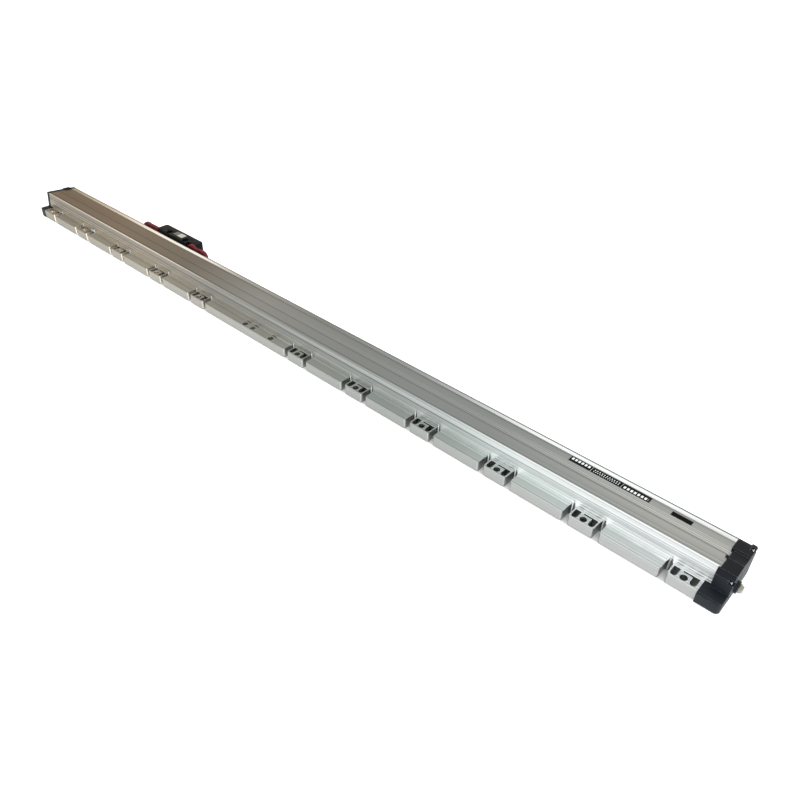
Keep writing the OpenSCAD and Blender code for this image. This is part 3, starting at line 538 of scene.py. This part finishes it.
# painted light on the ends of the pads at the near end, painted shade at the far end
pad_end = add(tree, "ShaderNodeMix", COLOUR_MIX | {"A": "#7C766C", "B": "#D6D8D6"},
              {"Factor": mask["near_half"]})
flange_side = add(tree, "ShaderNodeMix", COLOUR_MIX,
                  {"Factor": mask["faces_along"],
                   "A": toned(tree, axes["X"], LENGTH_SPAN, FRONT_LIGHT_ALONG), "B": pad_end})
in_pocket = add(tree, "ShaderNodeMath", {"operation": "MULTIPLY"},
                {0: mask["behind_front"], 1: mask["before_wall"]})
# painted light in the pockets, pale at the far end and darker at the near one
pocket = add(tree, "ShaderNodeMix", COLOUR_MIX | {"A": WARM_PAINTED_LIGHT, "B": "#A0A2A0"},
             {"Factor": mask["near_pockets"]})
flange_side = add(tree, "ShaderNodeMix", COLOUR_MIX,
                  {"Factor": in_pocket, "A": flange_side, "B": pocket})

# upright strips of painted reflection round the root of a notch, also laid on the foot of the wall
strips = add(tree, "ShaderNodeValToRGB", {"stops": ROOT_REFLECTIONS}, {"Fac": mask["faces_right"]})
at_root = add(tree, "ShaderNodeMath", {"operation": "MULTIPLY"},
              {0: mask["root_depth"], 1: mask["root_turn"]})
flange_side = add(tree, "ShaderNodeMix", COLOUR_MIX,
                  {"Factor": at_root, "A": flange_side, "B": strips})
low_root = add(tree, "ShaderNodeMath", {"operation": "MULTIPLY"},
               {0: at_root, 1: mask["wall_foot"]})
wall_tone = add(tree, "ShaderNodeMix", COLOUR_MIX,
                {"Factor": low_root, "A": wall_tone, "B": strips})

# the painted light along and across the flange's top, multiplied
flange_top = add(tree, "ShaderNodeMix", COLOUR_PRODUCT,
                 {"A": toned(tree, axes["X"], LENGTH_SPAN, FLANGE_LIGHT_ALONG),
                  "B": toned(tree, axes["Y"], FLANGE_SPAN, FLANGE_PAINTED_LIGHT)})
flange_tone = add(tree, "ShaderNodeMix", COLOUR_MIX,
                  {"Factor": mask["faces_up"], "A": flange_side, "B": flange_top})
section_tone = add(tree, "ShaderNodeMix", COLOUR_MIX,
                   {"Factor": mask["faces_up"], "A": wall_tone, "B": roof_tone})
tone = add(tree, "ShaderNodeMix", COLOUR_MIX,
           {"Factor": mask["above_flange"], "A": flange_tone, "B": section_tone})
print(len(ROOT_REFLECTIONS), "tones round the root of a notch")

# %% [markdown]
# ## Die lines
# A die leaves fine lines along the length. Two noises are stretched several hundred times along X
# for them, a broad one and a fine one. The lines change the tone, the roughness and the relief.
# They show strongly at the near end, where their stronger contrast is painted light, and faintly elsewhere.

# %% Die lines
FINE_SHARE = 0.6
FAINT_SHADES = {"To Min": 0.94, "To Max": 1.05}
STRONG_SHADES = {"To Min": 0.74, "To Max": 1.22}
SATIN_RANGE = {"To Min": 0.32, "To Max": 0.46}
BAND_LEAN = -0.35
# a noise mostly lies between these two values
NOISE_RANGE = {"From Min": 0.3, "From Max": 0.7}


def stretched_noise(tree, place, stretch, settings):
    """A noise whose scale along each axis is 1 over a length in metres."""
    stretched = add(tree, "ShaderNodeMapping", {"Scale": stretch}, {"Vector": place})
    return add(tree, "ShaderNodeTexNoise", settings, {"Vector": stretched})


# broad lines are about 2 mm apart and fine ones 1 mm, coarser than real so that they show
broad = stretched_noise(tree, place, (0.9, 420.0, 420.0),
                        {"Scale": 1.0, "Detail": 1.0, "Roughness": 0.4})
fine = stretched_noise(tree, place, (1.6, 950.0, 950.0),
                       {"Scale": 1.0, "Detail": 2.0, "Roughness": 0.6})
lines = add(tree, "ShaderNodeMix", {"Factor": FINE_SHARE}, {"A": broad, "B": fine})
faint = add(tree, "ShaderNodeMapRange", NOISE_RANGE | FAINT_SHADES, {"Value": lines})
strong = add(tree, "ShaderNodeMapRange", NOISE_RANGE | STRONG_SHADES, {"Value": lines})
# the stronger shades at the near end are painted light
shade = add(tree, "ShaderNodeMix", None, {"Factor": mask["near_end"], "A": faint, "B": strong})
lined = add(tree, "ShaderNodeVectorMath", {"operation": "SCALE"}, {0: tone, "Scale": shade})
tree.links.new(lined.outputs["Vector"], shader.inputs["Base Color"])
gloss = add(tree, "ShaderNodeMapRange", NOISE_RANGE | SATIN_RANGE, {"Value": fine})
tree.links.new(gloss.outputs["Result"], shader.inputs["Roughness"])
relief = add(tree, "ShaderNodeBump", {"Strength": 0.15, "Distance": 0.00008}, {"Height": lines})
# the bright band near the back leans to the front, so that it mirrors the sky overhead
lean = add(tree, "ShaderNodeVectorMath", {"operation": "SCALE", 0: (0.0, BAND_LEAN, 0.0)},
           {"Scale": on_band})
leaned = add(tree, "ShaderNodeVectorMath", {"operation": "ADD"}, {0: relief, 1: lean})
level = add(tree, "ShaderNodeVectorMath", {"operation": "NORMALIZE"}, {0: leaned})
tree.links.new(level.outputs["Vector"], shader.inputs["Normal"])
print("aluminium ready,", len(tree.nodes), "nodes")

# %% [markdown]
# ## Easing edges
# No moulded, cast or turned edge is truly sharp: it has a small radius that catches a line of
# light. The CAD keeps its edges sharp for the fits, so a copy of the node is cleaned and
# bevelled, and stands for the node. The bevel only cuts inwards, so the size stays. One very
# short edge would hold back the whole bevel, so each edge is weighted by the room at its ends,
# and those with next to none stay sharp.

# %% Easing edges
DOUBLES = 2e-6
FLAT_ANGLE = 0.5
ROOM_NEEDED = 2.4
LEAST_SHARE = 0.15


def cleaned(mesh):
    """A bmesh of a mesh, with doubled corners joined and each flat face made whole."""
    shape = bmesh.new()
    shape.from_mesh(mesh)
    bmesh.ops.remove_doubles(shape, verts=shape.verts, dist=DOUBLES)
    bmesh.ops.dissolve_limit(shape, angle_limit=math.radians(FLAT_ANGLE), verts=shape.verts,
                             edges=shape.edges)
    return shape


def stand_in(piece, node):
    """Lets a piece stand for a CAD node, on the same body and in the same material slot."""
    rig.ride(piece, BODY_OF[node])
    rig.replaces(piece, node)
    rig.slot(piece, SLOT_OF[node])


def eased(node, radius_mm, material, segments=2, angle=28, edge_highlight=None):
    """A copy of a CAD node with its edges rounded, and the rounded edges in a painted highlight if one is given."""
    shape = cleaned(NODES[node].data)
    for face in shape.faces:
        face.smooth = True
    weight = shape.edges.layers.float.new("bevel_weight_edge")
    for edge in shape.edges:
        if len(edge.link_faces) == 2 and edge.calc_face_angle() > math.radians(angle):
            room = min(near.calc_length() for end in edge.verts for near in end.link_edges)
            share = min(1.0, room / (ROOM_NEEDED * radius_mm / 1000))
            edge.smooth = share > LEAST_SHARE
            edge[weight] = share if edge.smooth else 0.0
    mesh = NODES[node].data.copy()
    shape.to_mesh(mesh)
    shape.free()
    mesh.materials.clear()
    mesh.materials.append(material)
    piece = bpy.data.objects.new(node + "_eased", mesh)
    bpy.context.scene.collection.objects.link(piece)
    bevel = piece.modifiers.new("eased_edges", "BEVEL")
    bevel.width = radius_mm / 1000
    bevel.segments = segments
    bevel.limit_method = "WEIGHT"
    bevel.harden_normals = True
    # the bevels take the second material, a painted highlight
    if edge_highlight:
        mesh.materials.append(edge_highlight)
        bevel.material = 1
    stand_in(piece, node)


print("an edge is rounded in full where it has", ROOM_NEEDED, "times its radius of room")

# %% [markdown]
# ## Corner cutters
# The flange is cut into pads and blocks by an end mill, and the front corners are then rounded to
# a radius of 3 mm. A cutter with a hollow round side does the same here: it is a prism that fills
# the corner outside the arc, from below the flange to above it. A corner is found as an upright
# edge at the front, beside a face that looks along the scale.

# %% Corner cutters
CORNER_RADIUS = 0.003
CORNER_STEPS = 6
OVERCUT = 0.0005
CUTTER_BOTTOM, CUTTER_TOP = -0.001, 0.0125
LEAST_HEIGHT = 0.005
UPRIGHT_SLACK, FRONT_SLACK = 1e-6, 1e-5
END_FACING = 0.9


def cutter_outline(x, side, front):
    """The outline of a cutter for a corner at x that faces side, which is 1 or -1. The last step
    of the arc runs on to the first point, which lies outside the flange."""
    r = CORNER_RADIUS
    outline = [(x + side * OVERCUT, front + r), (x + side * OVERCUT, front - OVERCUT),
               (x - side * r, front - OVERCUT)]
    for i in range(CORNER_STEPS):
        turn = math.radians(90) * i / CORNER_STEPS
        outline.append((x - side * r + side * r * math.sin(turn), front + r - r * math.cos(turn)))
    return outline


def corner_cutters(shape, front, outermost):
    """Prisms that round the upright front corners of a bmesh, and the number of them."""
    cutters, count = bmesh.new(), 0
    for edge in shape.edges:
        low, high = sorted((v.co for v in edge.verts), key=lambda co: co.z)
        upright = high.z - low.z > LEAST_HEIGHT and abs(high.x - low.x) < UPRIGHT_SLACK
        at_front = max(low.y, high.y) < front + FRONT_SLACK and abs(low.x) <= outermost
        ends = [f for f in edge.link_faces if abs(f.normal.x) > END_FACING]
        if not (upright and at_front and ends):
            continue
        outline = cutter_outline(low.x, math.copysign(1.0, ends[0].normal.x), front)
        bottom, top = ([cutters.verts.new((x, y, z)) for x, y in outline]
                       for z in (CUTTER_BOTTOM, CUTTER_TOP))
        for i in range(len(outline)):
            j = (i + 1) % len(outline)
            cutters.faces.new((bottom[i], bottom[j], top[j], top[i]))
        cutters.faces.new(bottom)
        cutters.faces.new(top)
        count += 1
    bmesh.ops.recalc_face_normals(cutters, faces=cutters.faces)
    return cutters, count


print("a cutter is", round((CUTTER_TOP - CUTTER_BOTTOM) * 1000, 1), "mm tall")

# %% [markdown]
# ## Milled corners
# A Boolean takes all the cutters away from a copy of the housing. The two outermost corners stand
# against the caps and stay square.

# %% Milled corners
# a corner less than this far from the outermost one counts as outermost too
CAP_ROOM = 0.002

shape = cleaned(NODES["housing"].data)
front = min(v.co.y for v in shape.verts)
outermost = max(abs(v.co.x) for v in shape.verts if v.co.y < 0.0) - CAP_ROOM
cutters, count = corner_cutters(shape, front, outermost)
cutter_mesh = bpy.data.meshes.new("corner_cutters")
cutters.to_mesh(cutter_mesh)
cutters.free()
housing_mesh = bpy.data.meshes.new("housing_milled")
shape.to_mesh(housing_mesh)
shape.free()
cutter = bpy.data.objects.new("corner_cutters", cutter_mesh)
housing = bpy.data.objects.new("housing_milled", housing_mesh)
for piece in (cutter, housing):
    bpy.context.scene.collection.objects.link(piece)
cut = housing.modifiers.new("round_corners", "BOOLEAN")
cut.operation = "DIFFERENCE"
cut.solver = "EXACT"
cut.object = cutter
cut_mesh = bpy.data.meshes.new_from_object(
    housing.evaluated_get(bpy.context.evaluated_depsgraph_get()))
housing.modifiers.clear()
bpy.data.objects.remove(cutter)
print(count, "corners rounded")

# %% [markdown]
# ## Rims of the flange
# A mill leaves a burr that is broken by hand, so every rim on top of the flange has a chamfer of
# 0.3 mm, which catches the light. The rims are the sharp edges at the flange's height in front of
# the wall.

# %% Rims of the flange
RIM_CHAMFER = 0.0003
RIM_ANGLE = 60
RIM_BOTTOM, RIM_TOP = 0.0119, 0.0121
WALL_FOOT = 0.0088

shape = cleaned(cut_mesh)
rims = [e for e in shape.edges
        if all(RIM_BOTTOM < v.co.z < RIM_TOP and v.co.y < WALL_FOOT for v in e.verts)
        and len(e.link_faces) == 2 and e.calc_face_angle(0.0) > math.radians(RIM_ANGLE)]
bmesh.ops.bevel(shape, geom=rims, offset=RIM_CHAMFER, offset_type="OFFSET", segments=1,
                profile=0.5, affect="EDGES", clamp_overlap=True)
shape.to_mesh(housing_mesh)
print(len(rims), "rim edges chamfered;", len(housing_mesh.polygons), "faces;",
      sum(1 for e in shape.edges if len(e.link_faces) != 2), "open edges")
shape.free()
housing_mesh.materials.clear()
housing_mesh.materials.append(aluminium)
stand_in(housing, "housing")

# %% [markdown]
# ## Moulded caps
# The end caps are glass-filled nylon, moulded in a mould with a fine spark-eroded grain. Such
# plastic is nearly black with a blue cast, has an IOR of about 1.53, and its grain breaks up
# every reflection. Noise in object space gives the grain, with flow marks several millimetres
# wide laid over it. The rounded edges have a paler painted highlight, and the low faces have
# painted light that makes them paler than the top, which is in painted shade.

# %% Moulded caps
# flow marks are about 11 mm apart
FLOW_SCALE = 90.0
# the darkest and the palest flow marks, as shares of the colour
FLOW_SHADES = (0.85, 1.15)
# painted light and shade up the caps: pale low faces, a bluish painted reflection part way up and a darker top
CAP_SHADE_BY_HEIGHT = [
    (0.0, "#FFFFFF"), (12.5, "#FFFFFF"), (22.0, "#F4F6FF"), (27.0, "#ECEEF6"), (29.0, "#C0C0C0"),
    (37.0, "#B0B0B0")]


def moulded(name, colour, roughness, grain_mm, relief_mm, flow=0.05, shade_by_height=None, **sockets):
    """A moulded plastic with flow marks and a fine grain, and painted shade by height if given."""
    material, tree, shader = new_material(name, colour, roughness=roughness, **sockets)
    place, axes = position(tree)
    marks = add(tree, "ShaderNodeTexNoise",
                {"Scale": FLOW_SCALE, "Detail": 3.0, "Distortion": 0.6}, {"Vector": place})
    rough = add(tree, "ShaderNodeMapRange",
                NOISE_RANGE | {"To Min": roughness - flow, "To Max": roughness + flow},
                {"Value": marks})
    tree.links.new(rough.outputs["Result"], shader.inputs["Roughness"])
    dark, pale = ([min(1.0, c * share) for c in linear(colour)[:3]] + [1.0]
                  for share in FLOW_SHADES)
    tone = add(tree, "ShaderNodeMix", COLOUR_MIX | {"A": dark, "B": pale}, {"Factor": marks})
    # painted shade by height, multiplied over the flow marks
    if shade_by_height:
        by_height = toned(tree, axes["Z"], (shade_by_height[0][0], shade_by_height[-1][0]), shade_by_height)
        tone = add(tree, "ShaderNodeMix", COLOUR_PRODUCT, {"A": tone, "B": by_height})
    tree.links.new(tone.outputs["Result"], shader.inputs["Base Color"])
    grain = add(tree, "ShaderNodeTexNoise", {"Scale": 1000.0 / grain_mm, "Detail": 2.0},
                {"Vector": place})
    bump = add(tree, "ShaderNodeBump", {"Strength": 0.5, "Distance": relief_mm / 1000},
               {"Height": grain})
    tree.links.new(bump.outputs["Normal"], shader.inputs["Normal"])
    return material


cap_nylon = moulded("Moulded_nylon_blue_black", "#1D2126", 0.5, shade_by_height=CAP_SHADE_BY_HEIGHT,
                    grain_mm=0.5, relief_mm=0.04, ior=1.53, specular_ior_level=0.14)
# a paler nylon on the rounded edges, as a painted highlight
nylon_edge_highlight = moulded("Nylon_edges_painted_highlight", "#78859A", 0.35, grain_mm=0.5, relief_mm=0.02,
                       ior=1.53)
for side in ("left", "right"):
    eased("end_cap_" + side, 0.45, cap_nylon, angle=18, edge_highlight=nylon_edge_highlight)
print("caps eased by 0.45 mm")

# %% [markdown]
# ## Rubber
# The gaskets and the sealing lips are black nitrile rubber, which is matt. The bed under the
# glass is a grey silicone. These pieces keep their CAD shape and only get a finish.

# %% Rubber
def finish_node(node, material):
    """Gives a CAD node, as it stands, a finish."""
    mesh = NODES[node].data
    mesh.materials.clear()
    mesh.materials.append(material)


seal_rubber = moulded("Nitrile_rubber_matt", "#141414", 0.75, grain_mm=0.6, relief_mm=0.03,
                      ior=1.52)
silicone = moulded("Silicone_bed_grey", "#8A8F7C", 0.6, grain_mm=1.2, relief_mm=0.03, ior=1.41)
for node in ("end_gasket_left", "end_gasket_right", "upper_sealing_lip", "lower_sealing_lip"):
    finish_node(node, seal_rubber)
finish_node("scale_adhesive", silicone)
print("seals and bed finished")

# %% [markdown]
# ## Plated screws and the air connector
# Screws are turned steel with a bright zinc plating, and the connector for sealing air is nickel
# plated brass. Both are metals, so their colour is the colour of the reflection. A turning tool
# leaves fine marks, and a noise that is stretched along one axis stands for them. The marks are
# about 0.7 mm wide, coarser than real so that they show.

# %% Plated screws and the air connector
# what the tool marks take from the roughness, and what they add to it
SMOOTHER, ROUGHER = 0.06, 0.1


def turned_metal(name, colour, roughness, stretch=(60.0, 900.0, 900.0)):
    """A plated or turned metal with fine tool marks."""
    material, tree, shader = new_material(name, colour, metallic=1.0, roughness=roughness)
    place, _ = position(tree)
    marks = stretched_noise(tree, place, stretch, {"Scale": 1.5, "Detail": 3.0})
    rough = add(tree, "ShaderNodeMapRange",
                NOISE_RANGE | {"To Min": roughness - SMOOTHER, "To Max": roughness + ROUGHER},
                {"Value": marks})
    tree.links.new(rough.outputs["Result"], shader.inputs["Roughness"])
    bump = add(tree, "ShaderNodeBump", {"Strength": 0.3, "Distance": 0.00003}, {"Height": marks})
    tree.links.new(bump.outputs["Normal"], shader.inputs["Normal"])
    return material


zinc = turned_metal("Zinc_plated_steel", "#D5D8DA", 0.24)
nickel = turned_metal("Nickel_plated_brass", "#99968A", 0.24)
dull_nickel = turned_metal("Dull_nickel_plating", "#A7A8A6", 0.34)
ground_steel = turned_metal("Ground_stainless_steel", "#B7B9BB", 0.28,
                            stretch=(500.0, 30.0, 500.0))
bearing_steel = turned_metal("Polished_bearing_steel", "#D6D8D9", 0.12)
black_oxide = turned_metal("Black_oxide_steel", "#3A3B3E", 0.38)
for node in ("cap_screws_left", "cap_screws_right", "cover_screws", "web_screws"):
    eased(node, 0.12, zinc)
eased("bracket_screws", 0.12, black_oxide)
eased("air_fitting", 0.25, nickel)
finish_node("air_plug", zinc)
eased("cable_socket", 0.2, dull_nickel)
finish_node("sealing_web", ground_steel)
for node in ("edge_roller_pins", "top_roller_pins"):
    finish_node(node, bearing_steel)
for node in ("top_roller_left", "top_roller_right", "edge_roller_left", "edge_roller_right"):
    eased(node, 0.15, bearing_steel)
print("metal pieces finished")

# %% [markdown]
# ## Printed film
# The plates are printed polyester film, half glossy, and carry no words. Thin rules mark out
# fields, as on a form, and rows of plain blocks stand for print. A rule is where a coordinate is
# close to a place, and a row of blocks is where a wave along the plate is low.

# %% Printed film
RULE_HALF_MM = 0.13
BORDER_SOFT_MM = 0.1


def printed_film(name, ground, ink, node, rules_along, rules_across, metallic=0.0, roughness=0.4,
                 field=None, rows=()):
    """A film for a plate, with rules at shares of its width and length, and rows of blocks. A
    field of another colour covers a share of its length."""
    low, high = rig.box(node)
    material, tree, shader = new_material(name, ground, metallic=metallic, roughness=roughness,
                                          specular_ior_level=0.05)
    _, axes = position(tree)
    marks = []
    for axis, index, shares in (("X", 0, rules_across), ("Y", 1, rules_along)):
        for share in shares:
            at = low[index] + share * (high[index] - low[index])
            marks.append(add(tree, "ShaderNodeMath",
                             {"operation": "COMPARE", 1: at, 2: RULE_HALF_MM / 1000},
                             {0: axes[axis]}))
    for start, end, pitch_mm, block_mm, height in rows:
        wave = add(tree, "ShaderNodeMath", {"operation": "PINGPONG", 1: pitch_mm / 2000},
                   {0: axes["X"]})
        blocks = add(tree, "ShaderNodeMath", {"operation": "LESS_THAN", 1: block_mm / 2000},
                     {0: wave})
        for axis, index, (near, far) in (("X", 0, (start, end)), ("Y", 1, height)):
            size = high[index] - low[index]
            within = add(tree, "ShaderNodeMath",
                         {"operation": "COMPARE", 1: low[index] + size * (near + far) / 2,
                          2: size * (far - near) / 2}, {0: axes[axis]})
            blocks = add(tree, "ShaderNodeMath", {"operation": "MULTIPLY"},
                         {0: blocks, 1: within})
        marks.append(blocks)
    inked = marks[0]
    for mark in marks[1:]:
        inked = add(tree, "ShaderNodeMath", {"operation": "MAXIMUM"}, {0: inked, 1: mark})
    share, field_colour = field or (0.0, ground)
    border = low[0] + share * (high[0] - low[0])
    soft = BORDER_SOFT_MM / 1000
    past_border = add(tree, "ShaderNodeMapRange",
                      {"From Min": border - soft, "From Max": border + soft},
                      {"Value": axes["X"]})
    printed = add(tree, "ShaderNodeMix", COLOUR_MIX | {"A": field_colour, "B": ground},
                  {"Factor": past_border})
    printed = add(tree, "ShaderNodeMix", COLOUR_MIX | {"B": ink},
                  {"Factor": inked, "A": printed})
    tree.links.new(printed.outputs["Result"], shader.inputs["Base Color"])
    return material


print("a rule is", 2 * RULE_HALF_MM, "mm wide")

# %% [markdown]
# ## Three plates
# The type plate on the roof has headings and small print, in white on black. The small plate
# beside it is black, and its rules hardly show. The scanning unit's plate is silver, with one
# darker field.

# %% Three plates
# each row of blocks: its ends as shares of the length, its pitch and block in millimetres, and
# its lower and upper side as shares of the width
HEADINGS = [(0.02, 0.26, 3.6, 2.2, (0.4, 0.85)), (0.68, 0.98, 3.6, 2.2, (0.15, 0.6))]
SMALL_PRINT = [(0.30, 0.64, 2.6, 0.9, (0.55, 0.75)), (0.30, 0.64, 2.2, 0.7, (0.2, 0.4))]

type_film = printed_film("Printed_film_black", "#050606", "#F2F4F4", "type_plate",
                         rules_along=(), rules_across=(0.28, 0.66), rows=HEADINGS + SMALL_PRINT)
small_film = printed_film("Printed_film_black_small", "#040404", "#151617", "small_plate",
                          rules_along=(0.1, 0.9), rules_across=(0.03, 0.97))
unit_film = printed_film("Printed_film_silver", "#D2D3CC", "#4A4B49", "unit_plate",
                         rules_along=(0.1, 0.5, 0.9), rules_across=(0.03, 0.45, 0.97),
                         metallic=0.6, roughness=0.35, field=(0.45, "#7C7D76"))
finish_node("type_plate", type_film)
finish_node("small_plate", small_film)
finish_node("unit_plate", unit_film)
print("three plates printed")

# %% [markdown]
# ## Scanning unit
# The mounting block is die-cast and has a black, satin coat of paint, whose fine orange peel
# is drawn a little coarse. The transport brackets that keep the gap are moulded in dark red
# acetal, which is smooth and has a waxy shine.

# %% Scanning unit
block_paint = moulded("Satin_black_paint_on_casting", "#0D1214", 0.42, grain_mm=0.9,
                      relief_mm=0.03, flow=0.06, ior=1.5, specular_ior_level=0.08)
cover_paint = moulded("Satin_black_paint_on_sheet", "#2A2B2B", 0.45, grain_mm=0.9,
                      relief_mm=0.02, ior=1.5)
red_acetal = moulded("Moulded_acetal_dark_red", "#64101A", 0.42, grain_mm=0.8, relief_mm=0.02,
                     ior=1.48, specular_ior_level=0.3)
insert_black = moulded("Moulded_insert_black", "#17171A", 0.4, grain_mm=0.6, relief_mm=0.02,
                       ior=1.5)
eased("mounting_block", 0.6, block_paint, segments=3)
eased("block_cover", 0.2, cover_paint)
for side in ("left", "right"):
    eased("transport_bracket_" + side, 0.5, red_acetal, segments=3)
finish_node("socket_insert", insert_black)
print("scanning unit finished")

# %% [markdown]
# ## Inside the housing
# The carriage is a bead-blasted casting that carries the light unit, the lens, the reticle and
# the detectors, and runs on the glass. Blasting leaves a grain that is the same along all axes,
# so its noise isn't stretched. The boards are glass laminate under a green mask.

# %% Inside the housing
blasted = turned_metal("Bead_blasted_aluminium", "#A9ACAF", 0.5, stretch=(1500.0, 1500.0, 1500.0))
board_green = moulded("Laminate_green_mask", "#1E5B3A", 0.35, grain_mm=1.5, relief_mm=0.02,
                      ior=1.55)
silicon = moulded("Silicon_dark_blue", "#2A2E3A", 0.2, grain_mm=2.0, relief_mm=0.005, ior=1.6)
lamp_body = moulded("Moulded_lamp_body", "#2B2D31", 0.4, grain_mm=0.6, relief_mm=0.02, ior=1.5)
eased("scanning_carriage", 0.35, blasted)
for node in ("interface_board", "detector_board"):
    finish_node(node, board_green)
finish_node("photodetectors", silicon)
finish_node("light_unit", lamp_body)
print("carriage and boards finished")

# %% [markdown]
# ## Glass
# The scale and the reticle are float glass with an IOR of 1.52, ruled in a track along the middle
# of the strip. The ruling is far too fine to see, so it is drawn as lines 0.5 mm apart. The lens
# is a clear moulding.

# %% Glass
RULING_MM = 0.5
TRACK_MIDDLE, TRACK_HALF = 0.0315, 0.0035
GLASS, RULED_GLASS = "#CFE0DC", "#6F7573"

scale_glass, tree, shader = new_material("Float_glass_with_ruling", GLASS, roughness=0.04,
                                         ior=1.52, transmission_weight=0.85)
place, axes = position(tree)
ruling = add(tree, "ShaderNodeTexWave",
             {"Scale": 1000.0 / (RULING_MM * math.tau), "bands_direction": "X"},
             {"Vector": place}).outputs["Fac"]
track = add(tree, "ShaderNodeMath", {"operation": "COMPARE", 1: TRACK_MIDDLE, 2: TRACK_HALF},
            {0: axes["Y"]})
ruled = add(tree, "ShaderNodeMath", {"operation": "MULTIPLY"}, {0: ruling, 1: track})
glass_tone = add(tree, "ShaderNodeMix", COLOUR_MIX | {"A": GLASS, "B": RULED_GLASS},
                 {"Factor": ruled})
tree.links.new(glass_tone.outputs["Result"], shader.inputs["Base Color"])
lens_clear, _, _ = new_material("Clear_moulded_lens", "#EAF2F3", roughness=0.03, ior=1.49,
                                transmission_weight=0.95)
for node in ("glass_scale", "scanning_reticle"):
    finish_node(node, scale_glass)
finish_node("condenser_lens", lens_clear)
print("glass and lens finished")

# %% [markdown]
# ## Sizes and finish
# The eased and milled copies must not reach past the CAD model, so both boxes are written down
# and can be compared.

# %% Sizes and finish
json.dump({"cad": CAD_BOX, "visual": corners(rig.bounds())}, open("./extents.json", "w"))
print(open("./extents.json").read())
